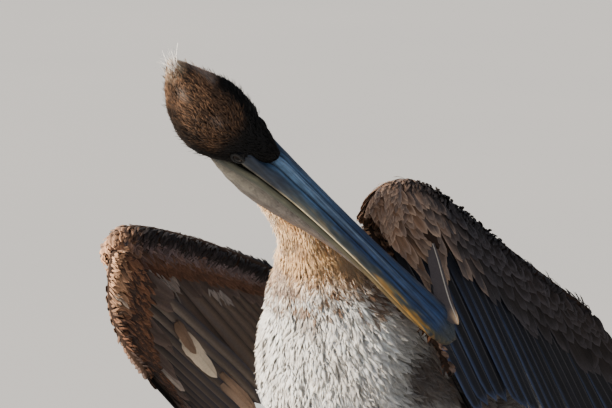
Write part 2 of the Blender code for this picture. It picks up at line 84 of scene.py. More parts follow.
def bill_axes():
    """Origin at the forehead's point, X along the bill, Y to the head's left, Z out of the crown."""
    ahead = (BILL_TIP - BILL_BASE).normalized()
    up = (CROWN_TOWARDS - ahead * CROWN_TOWARDS.dot(ahead)).normalized()
    left = up.cross(ahead)
    return Matrix.Translation(BILL_BASE) @ Matrix((ahead, left, up)).transposed().to_4x4()


def box_middle(node):
    low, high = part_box(node)
    return (low + high) / 2


SHIFT = box_middle("eye_left") - bill_axes() @ EYE_SEAT
HEAD = Matrix.Translation(SHIFT) @ bill_axes()
HEAD_INVERSE = np.array(HEAD.inverted())
OFFSET = np.array(SHIFT)

TRUNK_LINE = (  # from the rump up to the foot of the neck: x, y, z, half width, rise, drop
    (0, 0.250, 0.276, 0.026, 0.018, 0.016),
    (0, 0.205, 0.297, 0.060, 0.046, 0.044),
    (0, 0.135, 0.330, 0.090, 0.084, 0.088),
    (0, 0.055, 0.366, 0.106, 0.104, 0.116),
    (0, -0.020, 0.405, 0.109, 0.100, 0.118),
    (0, -0.066, 0.450, 0.098, 0.082, 0.092),
    (0, -0.092, 0.497, 0.070, 0.062, 0.062),
    (0, -0.106, 0.530, 0.050, 0.047, 0.046),
)
NECK_LINE = (  # on from there to under the head
    (0.001, -0.110, 0.540, 0.045, 0.042, 0.041),
    (-0.003, -0.124, 0.574, 0.034, 0.032, 0.032),
    (-0.022, -0.138, 0.606, 0.028, 0.027, 0.028),
    (-0.036, -0.164, 0.638, 0.027, 0.025, 0.026),
    (-0.033, -0.205, 0.666, 0.027, 0.025, 0.026),
    (-0.022, -0.240, 0.688, 0.027, 0.025, 0.026),
    (-0.014, -0.258, 0.699, 0.023, 0.020, 0.020),
)
HEAD_LINE = (  # in the head's own frame, back from the forehead's point: along, up, radius
    (-0.004, -0.006, 0.006),
    (-0.030, -0.023, 0.026),
    (-0.060, -0.031, 0.036),
    (-0.090, -0.034, 0.036),
    (-0.120, -0.030, 0.025),
    (-0.143, -0.024, 0.010),
)
THIGH_LINE = (  # the left thigh, from the body down to the heel
    (0.050, 0.045, 0.275, 0.040, 0.050, 0.042),
    (0.056, 0.057, 0.230, 0.042, 0.052, 0.046),
    (0.062, 0.071, 0.190, 0.031, 0.036, 0.034),
    (0.064, 0.080, 0.162, 0.019, 0.021, 0.021),
    (0.064, 0.086, 0.140, 0.010, 0.011, 0.011),
)


# ---------------------------------------------------------------- small mathematics
def unit(v):
    v = np.asarray(v, float)
    return v / np.maximum(np.linalg.norm(v, axis=-1, keepdims=True), 1e-12)


def square_to(direction, axis):
    """The part of `direction` at right angles to `axis`, at length one."""
    axis = unit(axis)
    return unit(direction - axis * (direction * axis).sum(-1, keepdims=True))


def smooth(low, high, x):
    t = np.clip((x - low) / (high - low), 0, 1)
    return t * t * (3 - 2 * t)


def mix(a, b, share):
    return a + (b - a) * share


def bell(x, middle, width):
    return np.exp(-(((x - middle) / width) ** 2))


def spread_out(values, count):
    """One value or one for each of `count` feathers, as an array of `count`."""
    return np.broadcast_to(np.asarray(values, float), (count,))


def smooth_rows(rows, steps):
    """Catmull-Rom through rows of equal length, with `steps` spans between neighbours."""
    rows = np.array(rows, float)
    padded = np.concatenate([rows[:1], rows, rows[-1:]])
    out = []
    for a, b, c, d in zip(padded, padded[1:], padded[2:], padded[3:]):
        square, cube = 2 * a - 5 * b + 4 * c - d, 3 * b - a - 3 * c + d
        for t in np.arange(steps) / steps:
            out.append(0.5 * (2 * b + (c - a) * t + square * t**2 + cube * t**3))
    return np.array(out + [rows[-1]])


def read_along(values, share):
    """Evenly spaced values read at shares of the way through them."""
    values = np.array(values, float)
    place = np.clip(share, 0, 1) * (len(values) - 1)
    i = np.minimum(place.astype(int), len(values) - 2)
    t = place - i
    if values.ndim > 1:
        t = t[..., None]
    return values[i] + (values[i + 1] - values[i]) * t


def speckle(points, size, seed=0):
    """Smooth noise from -1 to 1 over points, with lumps about `size` across."""
    waves = 7
    picks = np.random.default_rng(seed)
    total = np.zeros(points.shape[:-1])
    for k in range(waves):
        turn = unit(picks.normal(size=3)) * (1 + 0.35 * k) * math.pi / size
        total += np.sin(points @ turn + picks.uniform(0, 6.3)) / (1 + 0.25 * k)
    return np.clip(total / 2.2, -1, 1)


def speckles(points, *wanted):
    """A column of noise over points for each (size, seed)."""
    return [speckle(points, size, seed)[:, None] for size, seed in wanted]


def paint(red, green, blue):
    """A colour given as it looks on a screen, 0 to 255, in linear light."""
    c = np.array([red, green, blue]) / 255
    return np.where(c <= 0.04045, c / 12.92, ((c + 0.055) / 1.055) ** 2.4)


def tree_of(points):
    tree = KDTree(len(points))
    for i, p in enumerate(points.tolist()):
        tree.insert(p, i)
    tree.balance()
    return tree


# ---------------------------------------------------------------- the plumage's colours
SOOT = paint(30, 24, 22)
DARK_BROWN = paint(52, 40, 33)
GREY_BROWN = paint(104, 92, 84)
TAN = paint(176, 140, 108)
MIST = paint(150, 142, 138)
CREAM = paint(226, 208, 182)
WHITE = paint(238, 232, 224)


class Chain:
    """Centrelines of the body, which tell which way its feathers lie and what part a point is on."""

    names = ("head", "neck", "trunk", "left_thigh", "right_thigh")
    CHUNK = 4000  # points read at a time, to spare memory
    FALL = 3.5  # how fast a line's pull dies away, in its own radii

    def __init__(self):
        self.at, self.along, self.radius, self.part, self.share = [], [], [], [], []
        self.add("head", [(*(HEAD @ Vector((x, 0, z)) - SHIFT), r, r, r) for x, z, r in HEAD_LINE])
        self.add("neck", NECK_LINE[::-1])
        self.add("trunk", TRUNK_LINE[::-1])
        self.add("left_thigh", THIGH_LINE)
        self.add("right_thigh", [(-x, *rest) for x, *rest in THIGH_LINE])
        for key in ("at", "along", "radius", "part", "share"):
            setattr(self, key, np.concatenate(getattr(self, key)))

    def add(self, name, rows):
        rows = smooth_rows(rows, 5)
        self.at.append(rows[:, :3] + OFFSET)
        self.along.append(unit(np.gradient(rows[:, :3], axis=0)))
        self.radius.append(rows[:, 3:].mean(1))
        self.part.append(np.full(len(rows), self.names.index(name)))
        self.share.append(np.linspace(0, 1, len(rows)))

    def read(self, points):
        """(weights of the parts, the way the feathers lie, share along the nearest line) for each point."""
        weights, lie, share = [], [], []
        for chunk in np.array_split(points, max(1, len(points) // self.CHUNK)):
            gap = np.linalg.norm(chunk[:, None] - self.at[None], axis=2) / self.radius
            pull = np.exp(-self.FALL * gap**2) + 1e-12
            weights.append(np.stack([pull[:, self.part == k].sum(1) for k in range(len(self.names))], 1))
            lie.append(unit((pull[:, :, None] * self.along[None]).sum(1)))
            share.append(self.share[np.argmin(gap, 1)])
        weights = np.concatenate(weights)
        return weights / weights.sum(1, keepdims=True), np.concatenate(lie), np.concatenate(share)


CHAIN = Chain()


def in_head(points):
    return points @ HEAD_INVERSE[:3, :3].T + HEAD_INVERSE[:3, 3]


def placed(points):
    """Points of the head's own frame, carried into the row's."""
    matrix = np.array(HEAD)
    return points @ matrix[:3, :3].T + matrix[:3, 3]


HEAD_SPOTS = (  # small pale patches in the head's own frame: colour, strength, middle, size
    (WHITE, 0.55, (-0.116, -0.0185, -0.013), (0.007, 0.0028, 0.007)),
    (MIST, 0.60, (-0.097, -0.034, -0.019), (0.003, 0.003, 0.004)),
    (MIST, 0.40, (-0.072, -0.019, -0.003), (0.007, 0.005, 0.010)),
)


def head_colour(points):
    """Warm brown with a sooty face and cheek, painted shade and sheen on the far brow; the crest and a few
    small patches are pale.
    """
    local = in_head(points)
    x, y, z = local.T[..., None]
    fine, broad = speckles(points, (0.005, 3), (0.024, 5))
    colour = mix(paint(84, 62, 46), paint(40, 31, 26), np.clip(0.45 + 0.42 * broad + 0.25 * fine, 0, 1))
    face = smooth(-0.070, -0.038, x + 0.25 * np.maximum(y, 0))
    cheek = smooth(-0.026, -0.040, z) * smooth(-0.125, -0.095, x)
    # painted shade: the far brow alone is darkened
    far_brow_shade = smooth(0.002, 0.016, y) * smooth(-0.108, -0.086, x)
    crest = smooth(-0.120, -0.138, x) * smooth(-0.4, 0.3, fine + 0.5 * broad + 0.3)
    # painted sheen: a bluish-grey strip along the crown's far edge
    rim = smooth(0.004, 0.014, y) * smooth(-0.090, -0.104, x)
    colour = mix(colour, paint(10, 9, 9), 0.96 * np.clip(face + 0.75 * cheek + far_brow_shade, 0, 1))
    colour = mix(colour, MIST, 0.60 * rim)
    colour = mix(colour, CREAM, 0.75 * crest)
    for tone, strength, middle, size in HEAD_SPOTS:
        colour = mix(colour, tone, strength * np.exp(-(((local - middle) / size) ** 2).sum(1))[:, None])
    return colour


def neck_colour(points, share):
    """Cream in front, brown behind, with fine brown mottling towards the breast; the brown reaches a little
    ahead of the neck's middle, painted shade on its sides.
    """
    place = points - OFFSET
    line = np.array(NECK_LINE)
    # behind: the hindneck's own brown, reaching forward of the neck's line as painted shade on its sides
    behind = smooth(-0.006, 0.013, place[:, 1] - np.interp(place[:, 2], line[:, 2], line[:, 1]))[:, None]
    fine, broad = speckles(points, (0.0055, 11), (0.040, 12))
    colour = mix(paint(238, 162, 96), paint(246, 190, 130), np.clip(0.45 + 0.5 * broad, 0, 1))
    mottle = smooth(0.45, 0.85, share)[:, None] * smooth(-0.3, 0.6, fine + 0.4 * broad)
    colour = mix(colour, paint(122, 92, 66), 0.75 * mottle)
    return mix(colour, paint(92, 66, 48), 0.88 * behind)


def trunk_colour(points, share):
    """White below, a brown mottled collar, brown and silver-grey feathers on the back; the same behind the
    arms and on the near flank is partly painted shade under the wings.
    """
    x, y, z = (points - OFFSET).T[..., None]
    axis = np.interp(share, [0, 1], [0.53, 0.28])[:, None]
    above = smooth(-0.03, 0.03, z - axis + 0.10 * y)
    fine, broad = speckles(points, (0.0065, 21), (0.030, 22))
    belly = mix(paint(252, 245, 232), CREAM, np.clip(0.12 + 0.25 * broad, 0, 1))
    high = z + 0.004 * broad + 0.005 * fine
    belly = mix(belly, paint(232, 176, 120), smooth(0.494, 0.530, high))
    collar = smooth(0.478, 0.498, high) * smooth(0.556, 0.520, high)
    belly = mix(belly, paint(112, 80, 56), 0.95 * collar * smooth(-0.7, 0.5, fine + 0.5 * broad))
    belly = mix(belly, MIST, 0.30 * smooth(0.35, 1.0, broad))
    back = mix(paint(78, 68, 62), DARK_BROWN, np.clip(0.55 + 0.5 * broad + 0.3 * fine, 0, 1))
    behind = smooth(-0.085, -0.03, y) * above
    # partly painted shade: the sides under the arms and the near flank take the back's darker colour, where
    # the wings shade them
    armpit_brown_and_shade = smooth(0.070, 0.092, np.abs(x)) * smooth(0.37, 0.41, z)
    flank_brown_and_shade = smooth(0.075, 0.095, x) * smooth(0.33, 0.36, z) * smooth(-0.04, 0.0, y)
    return mix(belly, back, np.maximum(behind, np.maximum(armpit_brown_and_shade, flank_brown_and_shade)))


def plumage(points):
    """The coat's colour at points of the body; skin and feathers both take it."""
    weights, _, share = CHAIN.read(points)
    thigh = mix(WHITE, GREY_BROWN, np.clip(0.30 + 0.4 * speckle(points, 0.02, 31), 0, 1)[:, None])
    parts = [head_colour(points), neck_colour(points, share), trunk_colour(points, share), thigh, thigh]
    sharp = weights**2
    sharp /= sharp.sum(1, keepdims=True)
    return sum(part * sharp[:, k : k + 1] for k, part in enumerate(parts))


COAT = {  # part: spacing of the tufts, length, width, depth of the coat
    "head": (0.00128, 0.0078, 0.0010, 0.0026),
    "neck": (0.00160, 0.0068, 0.00125, 0.0019),
    "trunk": (0.0041, 0.0200, 0.0050, 0.0066),
    "left_thigh": (0.0045, 0.0190, 0.0066, 0.0060),
    "right_thigh": (0.0045, 0.0190, 0.0066, 0.0060),
}
COAT_TABLE = np.array([COAT[name] for name in CHAIN.names])


def coat_sizes(points):
    """(spacing, length, width, depth) of the coat at points of the body, finer on the collar and the face."""
    weights, _, share = CHAIN.read(points)
    sizes = weights @ COAT_TABLE
    collar = weights[:, 2] * smooth(0.30, 0.0, share)
    sizes *= (1 - 0.45 * collar)[:, None]
    face = weights[:, 0] * smooth(-0.060, -0.010, in_head(points)[:, 0])
    sizes *= (1 - 0.35 * face)[:, None]
    return sizes


RUFFLED = (-0.030, 0.0, 0.030), (-0.0048, 0.0, 0.0030)  # places across the head, how much further out there


def ruffle(points):
    """How much further out the head's skin sits: feathers stand up on its left and lie sleek on its right."""
    return CHAIN.read(points)[0][:, 0] * np.interp(in_head(points)[:, 1], *RUFFLED)


# ---------------------------------------------------------------- meshes from arrays
def new_object(name, data):
    obj = bpy.data.objects.new(name, data)
    bpy.context.scene.collection.objects.link(obj)
    return obj


def mesh_object(name, points, triangles, colours=None, maps=None, material=None, crease=None):
    """One closed object from arrays; colours per point become `plumage`, maps are {name: uv per point}."""
    corners = points[triangles]
    if (corners[:, 0] * np.cross(corners[:, 1], corners[:, 2])).sum() < 0:
        triangles = triangles[:, ::-1]
    mesh = bpy.data.meshes.new(name)
    mesh.vertices.add(len(points))
    mesh.vertices.foreach_set("co", np.ascontiguousarray(points, np.float32).ravel())
    mesh.loops.add(triangles.size)
    mesh.loops.foreach_set("vertex_index", np.ascontiguousarray(triangles, np.int32).ravel())
    mesh.polygons.add(len(triangles))
    mesh.polygons.foreach_set("loop_start", np.arange(0, triangles.size, 3, dtype=np.int32))
    mesh.polygons.foreach_set("use_smooth", np.full(len(triangles), True))
    mesh.update(calc_edges=True)
    if crease:
        mesh.set_sharp_from_angle(angle=crease)
    for key, uv in (maps or {}).items():
        layer = mesh.uv_layers.new(name=key)
        layer.uv.foreach_set("vector", np.ascontiguousarray(uv[triangles.ravel()], np.float32).ravel())
    if colours is not None:
        paint_points(mesh, colours)
    if material:
        mesh.materials.append(material)
    return new_object(name, mesh)


def paint_points(mesh, colours):
    attribute = mesh.attributes.new("plumage", "FLOAT_COLOR", "POINT")
    rgba = np.concatenate([colours, np.ones((len(colours), 1))], 1).astype(np.float32)
    attribute.data.foreach_set("color", rgba.ravel())


def read_out(items, key, width, kind=np.float32):
    """A property of all of a mesh's items, as rows of `width` numbers."""
    out = np.empty(len(items) * width, kind)
    items.foreach_get(key, out)
    return out.reshape(-1, width)


def points_of(mesh):
    return read_out(mesh.vertices, "co", 3).astype(float)


def normals_of(mesh):
    return read_out(mesh.vertices, "normal", 3).astype(float)


def triangles_of(mesh):
    mesh.calc_loop_triangles()
    return read_out(mesh.loop_triangles, "vertices", 3, np.int32)


def tube_triangles(rows, ring):
    """Triangles of one closed tube of `rows` rings."""
    out = []
    for k in range(rows - 1):
        for i in range(ring):
            j = (i + 1) % ring
            a, b, c, d = k * ring + i, k * ring + j, (k + 1) * ring + j, (k + 1) * ring + i
            out += [(a, b, c), (a, c, d)]
    for k, turn in ((0, -1), (rows - 1, 1)):
        for i in range(1, ring - 1):
            out.append([k * ring, k * ring + i, k * ring + i + 1][::turn])
    return np.array(out)


def tube_object(name, points, colours=None, material=None, grain=None):
    """A closed tube from points (rings, ring, 3); grain, a map along it, is (rings, ring, 2)."""
    triangles = tube_triangles(*points.shape[:2])
    if colours is not None:
        colours = np.broadcast_to(colours, points.shape).reshape(-1, 3)
    maps = None if grain is None else {"grain": grain.reshape(-1, 2)}
    return mesh_object(name, points.reshape(-1, 3), triangles, colours, maps, material)


def turns(sides):
    """(angles, cosines, sines) evenly round a ring."""
    angles = 2 * math.pi * np.arange(sides) / sides
    return angles, np.cos(angles), np.sin(angles)


VANE_THICK = 0.0005
# A feather's cross-section, (across, height) round its rim: shares of its half width and of its thickness.
BLADE = ((-1.0, 0.0), (0.0, 1.0), (1.0, 0.0))
VANE = ((-1.0, 0.0), (-0.55, 0.45), (0.0, 1.0), (0.55, 0.45), (1.0, 0.0), (0.0, -0.35))
QUILL = (  # a raised shaft between two flat vanes
    (-1.0, 0.0), (-0.6, 0.35), (-0.10, 0.50), (0.0, 1.6), (0.10, 0.50),
    (0.6, 0.35), (1.0, 0.0), (0.5, -0.3), (0.0, -1.2), (-0.5, -0.3),
)
LOPSIDED = (  # the same with its shaft off centre: a wide vane on one side, a narrow one on the other
    (-1.9, 0.0), (-1.1, 0.5), (-0.4, 0.6), (-0.12, 0.5), (0.0, 2.0), (0.12, 0.5),
    (0.42, 0.0), (0.12, -0.4), (0.0, -1.4), (-0.12, -0.4), (-0.4, -0.4), (-1.1, -0.3),
)


class Batch:
    """Feathers gathered into pieces, each of which stays under the limit on triangles.

    soft is how far the shading leans from the feathers' own surfaces to the skin's under them.
    """

    LIMIT = 190_000
    CREASE = math.radians(55)
    PATCH = 0.003  # how wide one feather's patch of OFBake is
    SLIM = 0.6  # the most of its half width that a feather is thick

    def __init__(self, name, material, soft=0.0):
        self.name, self.material, self.soft = name, material, soft
        self.parts = []

    def add(
        self, spine, across, normal, half, height, section, colours, bake, run,
        roll=0.0, camber=0.0, thick=0.0003,
    ):
        """Feathers along their spines.

        spine, across and normal are (count, rows, 3), half, height and run (count, rows), and colours (count,
        rows, ring, 3).
        """
        section = np.array(section)
        count, rows = half.shape
        b, h = section.T
        wide = half[:, :, None]
        lift = height[:, :, None] + h * np.minimum(thick, wide * self.SLIM)
        lift = lift + wide * (spread_out(roll, count)[:, None, None] * b - camber * b**2)
        out = spine[:, :, None] + across[:, :, None] * (wide * b)[..., None]
        out = out + normal[:, :, None] * lift[..., None]
        along = np.linspace(0, 1, rows)[:, None] - 0.5
        patch = bake[:, None, None] + np.stack(np.broadcast_arrays(b * 0.5, along), -1) * self.PATCH
        vane = np.stack(np.broadcast_arrays(wide * b, run[:, :, None]), -1)
        each = (colours, patch, vane, normal[:, :, None])
        each = [np.broadcast_to(one, (*out.shape[:3], one.shape[-1])) for one in each]
        turned = (np.cross(np.gradient(spine, axis=1), across) * normal).sum((1, 2)) > 0
        turned = np.broadcast_to(turned, (len(out),))
        faces = tube_triangles(rows, len(section))
        for chosen, outward in ((turned, faces[:, ::-1]), (~turned, faces)):
            self.parts.append((outward, out[chosen], *(one[chosen] for one in each)))

    def shares(self):
        """The feathers dealt out to the pieces."""
        pieces, load = [[]], 0
        for faces, *arrays in self.parts:
            first, total = 0, len(arrays[0])
            while first < total:
                last = min(total, first + max(1, (self.LIMIT - load) // len(faces)))
                pieces[-1].append((faces, *(one[first:last] for one in arrays)))
                load += (last - first) * len(faces)
                first = last
                if first < total:
                    pieces.append([])
                    load = 0
        return pieces

    def build(self):
        """One object for each share of the batch."""
        pieces = self.shares()
        names = [self.name] if len(pieces) == 1 else [f"{self.name}_{k + 1}" for k in range(len(pieces))]
        return [self.piece(name, share) for name, share in zip(names, pieces)]

    def piece(self, name, share):
        triangles, base = [], 0
        for faces, out, *_ in share:
            size = out.shape[1] * out.shape[2]
            starts = base + np.arange(len(out)) * size
            triangles.append((starts[:, None, None] + faces).reshape(-1, 3))
            base += len(out) * size
        arrays = zip(*(one[1:] for one in share))
        flat = [np.concatenate([one.reshape(-1, one.shape[-1]) for one in kind]) for kind in arrays]
        points, colours, patch, vane, lean = flat
        maps = {"OFBake": patch, "vane": vane}
        made = mesh_object(name, points, np.concatenate(triangles), colours, maps, self.material, self.CREASE)
        if self.soft:
            soft = unit(mix(normals_of(made.data), lean, self.soft))
            made.data.normals_split_custom_set_from_vertices(soft.astype(np.float32))
        return made


# ---------------------------------------------------------------- the wings' surfaces
NEAR = 0.02  # how far either side, as a share, a line's direction is read


class Line:
    """A smooth line read by its share of length."""

    def __init__(self, points):
        self.points = smooth_rows(points, 6)
        runs = np.linalg.norm(np.diff(self.points, axis=0), axis=1)
        self.shares = np.concatenate([[0], np.cumsum(runs)]) / runs.sum()
        self.length = runs.sum()

    def at(self, share):
        share = np.clip(share, 0, 1)
        return np.stack([np.interp(share, self.shares, self.points[:, k]) for k in range(3)], -1)

    def tangent(self, share):
        return unit(self.at(share + NEAR) - self.at(share - NEAR))

    def axes(self, shares, lies, outward):
        """(root, the way the feathers lie, across the face, ahead of the bone) at shares of the line."""
        root, tangent = self.at(shares), self.tangent(shares)
        lie = unit(read_along(unit(lies), shares))
        return root, lie, square_to(np.array(outward, float), lie), -square_to(lie, tangent)


class Sheet:
    """One face of a fan of feathers, read by (share along the bone, metres back from the leading edge).

    side is 1 for the outward face, -1 for the inward one and 0 for the middle between them.
    """

    SHARES, SPANS = 49, 64
    NOSE_ROWS, BACK_ROWS = 11, 40
    RIM = 0.0008  # half the thickness that is left at the trailing edge
    STEP = 0.0015  # how far apart the points are that tell which way the feathers run

    def __init__(self, line, lies, reach, outward, side, nose, thick, bulge, shift=0.0):
        self.bone = line.length
        shares = np.linspace(0, 1, self.SHARES)
        root, lie, across, ahead = line.axes(shares, lies, outward)
        length = read_along(reach, shares)
        round_nose = -np.cos(np.linspace(0, math.pi / 2, self.NOSE_ROWS + 1))[:-1]
        grid = []
        for t in np.concatenate([round_nose, np.linspace(0, 1, self.BACK_ROWS)]):
            if t < 0:
                place = root - ahead * nose * t
                half = self.RIM + thick / 2 * math.sqrt(max(0.0, 1 - t * t))
            else:
                place = root + lie * length[:, None] * t
                half = self.RIM + thick / 2 * (1 - t) ** 2
            rise = shift + bulge * math.sin(math.pi * max(t, 0.0) ** 0.7)
            grid.append(place + across * (rise + half * side) + OFFSET)
        grid = np.array(grid).transpose(1, 0, 2)
        runs = np.linalg.norm(np.diff(grid, axis=1), axis=2)
        run = np.concatenate([np.zeros((len(shares), 1)), np.cumsum(runs, 1)], 1)
        self.reach = run[:, -1]
        even = np.linspace(0, 1, self.SPANS)
        evened = [[np.interp(even * r[-1], r, g[:, k]) for k in range(3)] for r, g in zip(run, grid)]
        self.grid = self.smoothed(np.array(evened).transpose(0, 2, 1))
        self.face(across[self.SHARES // 2] * (side if side else 1), self.reach[self.SHARES // 2] * 0.4)

    def face(self, way, run):
        """Turns the normals to the side that `way` points to at the sheet's middle."""
        self.turn = 1.0
        here = self.frame_at(np.array([0.5]), np.array([run]))[3][0]
        self.turn = 1.0 if here @ way > 0 else -1.0

    @staticmethod
    def smoothed(grid):
        for _ in range(3):
            grid[1:-1] = (grid[:-2] + 2 * grid[1:-1] + grid[2:]) / 4
        return grid

    def at(self, share, run):
        u = np.clip(share, 0, 1) * (self.SHARES - 1)
        i = np.minimum(u.astype(int), self.SHARES - 2)
        fu = (u - i)[..., None]
        reach = self.reach[i] * (1 - fu[..., 0]) + self.reach[i + 1] * fu[..., 0]
        v = run / reach * (self.SPANS - 1)
        j = np.clip(v.astype(int), 0, self.SPANS - 2)
        fv = (v - j)[..., None]
        g = self.grid
        low = g[i, j] * (1 - fu) + g[i + 1, j] * fu
        high = g[i, j + 1] * (1 - fu) + g[i + 1, j + 1] * fu
        extra = (share - np.clip(share, 0, 1))[..., None] * self.bone
        return low * (1 - fv) + high * fv + unit(g[i + 1, j] - g[i, j]) * extra

    def frame_at(self, share, run):
        """(point, along the feathers, across them, outward normal)."""
        here = self.at(share, run)
        along = unit(self.at(share, run + self.STEP) - self.at(share, run - self.STEP))
        span = unit(self.at(np.clip(share + NEAR, 0, 1), run) - self.at(np.clip(share - NEAR, 0, 1), run))
        return here, along, square_to(span, along), unit(np.cross(along, span)) * self.turn


def profile(rows, blunt=0.55, root=0.35):
    """Half widths down a vane as shares of its widest: quick to widen, then a rounded tip."""
    a = np.linspace(0, 1, rows)
    grow = root + (1 - root) * np.clip(a / 0.22, 0, 1) ** 0.7
    return grow * np.sqrt(np.clip(1 - np.clip((a - blunt) / (1 - blunt), 0, 1) ** 2.2, 0.0016, 1))


def lay(
    batch, sheet, share, start, length, width, colour, bake, depth=(-0.002, 0.0), splay=0.0, roll=0.0,
    camber=0.10, section=VANE, rows=8, blunt=0.55, root=0.35, ragged=0.04,
):
    """Feathers on a sheet, with one value or one for each feather.

    colour(a, ring, index) gives the colours and bake(share, run) the places on OFBake; depth is how far the
    root and the tip stand off the sheet.
    """
    count = len(share)
    length, start = spread_out(length, count), spread_out(start, count)
    a = np.linspace(0, 1, rows)
    run = start[:, None] + length[:, None] * a
    spine, _, across, normal = sheet.frame_at(share[:, None] + spread_out(splay, count)[:, None] * a, run)
    across = square_to(across, np.gradient(spine, axis=1))
    half = spread_out(width, count)[:, None] / 2 * profile(rows, blunt, root)
    half = half * (1 + ragged * rng.normal(size=half.shape))
    height = depth[0] * (1 - a) + depth[1] * a
    height = np.broadcast_to(height, half.shape)
    ring = np.array(section)
    shades = colour(np.broadcast_to(a[None, :, None], (count, rows, len(ring))), ring, np.arange(count))
    patch, run = bake(share, start), length[:, None] * a
    batch.add(spine, across, normal, half, height, section, shades, patch, run, roll, camber, VANE_THICK)


# ---------------------------------------------------------------- skin
SKIN_VOXEL = 0.0030
FLESHY = ("head", "neck_upper", "neck_lower", "trunk", "leg_left_thigh", "leg_right_thigh")  # solids it wraps
FLESH_SKIN = 0.0030  # how far the arms' flesh lies inside the feathers over it
ARM_CLEAR = 0.0035  # further than this off the body, a point of the skin is an arm's
BODY_SOFTENING, WHOLE_SOFTENING = 14, 4  # rounds


def joined(name, meshes):
    bm = bmesh.new()
    for mesh in meshes:
        bm.from_mesh(mesh)
    mesh = bpy.data.meshes.new(name)
    bm.to_mesh(mesh)
    bm.free()
    return new_object(name, mesh)


def one_surface(obj, rounds):
    """Remeshes the object into one closed surface and softens it."""
    remesh = obj.modifiers.new("one_surface", "REMESH")
    remesh.mode, remesh.voxel_size, remesh.use_smooth_shade = "VOXEL", SKIN_VOXEL, True
    soften = obj.modifiers.new("soften", "SMOOTH")
    soften.factor, soften.iterations = 0.5, rounds
    graph = bpy.context.evaluated_depsgraph_get()
    mesh = bpy.data.meshes.new_from_object(obj.evaluated_get(graph))
    obj.modifiers.clear()
    old, obj.data = obj.data, mesh
    bpy.data.meshes.remove(old)
    mesh.name = obj.name
    return mesh


def arm_flesh(line, lies, outward, nose, thick, shift, rise, backs):
    """The fleshy front of a wing as a closed tube: round ahead of the bone, tapering behind it."""
    shares = np.linspace(0.0, 1, 22)
    back = read_along(backs, shares)[:, None]
    root, _, across, ahead = line.axes(shares, lies, outward)
    deep, tall = nose - FLESH_SKIN, thick / 2 - FLESH_SKIN
    rim = [(math.cos(a) * deep, math.sin(a) * tall) for a in np.linspace(-1.2, 1.2, 9)]
    rim += [(-back, rise + 0.0022), (-back, rise - 0.0022)]
    rings = [root + ahead * x + across * (y + shift) + OFFSET for x, y in rim]
    obj = tube_object("arm_flesh", np.array(rings).transpose(1, 0, 2))
    mesh = obj.data
    bm = bmesh.new()
    bm.from_mesh(mesh)
    bmesh.ops.recalc_face_normals(bm, faces=bm.faces)
    bm.to_mesh(mesh)
    bm.free()
    bpy.data.objects.remove(obj)
    return mesh


def make_skin():
    """(one surface of all the flesh, inset by the coat's depth; a tree of the body's without the arms)."""
    body = joined("skin", [NODES[name].data for name in FLESHY])
    mesh = one_surface(body, BODY_SOFTENING)
    points = points_of(mesh)
    depth = coat_sizes(points)[:, 3] - ruffle(points)
    points = points - normals_of(mesh) * depth[:, None]
    mesh.vertices.foreach_set("co", points.astype(np.float32).ravel())
    bare_body = BVHTree.FromPolygons(points.tolist(), triangles_of(mesh).tolist())
    arms = [arm_flesh(*part) for wing in WINGS for part in wing.flesh()]
    whole = joined("body_skin", [mesh, *arms])
    bpy.data.objects.remove(body)
    one_surface(whole, WHOLE_SOFTENING)
    return whole, bare_body


def on_arms(points, bare_body):
    """Which points of the skin are the arms': they lie off the body's own surface."""
    return np.array([bare_body.find_nearest(p)[3] > ARM_CLEAR for p in points.tolist()])


def unwrap(obj):
    """The skin's own unwrap, which the coat's OFBake patches are placed on."""
    bpy.context.view_layer.objects.active = obj
    obj.select_set(True)
    obj.data.uv_layers.new(name="OFBake")
    bpy.ops.object.mode_set(mode="EDIT")
    bpy.ops.mesh.select_all(action="SELECT")
    bpy.ops.uv.smart_project(angle_limit=math.radians(66), island_margin=0.004)
    bpy.ops.object.mode_set(mode="OBJECT")
    obj.select_set(False)


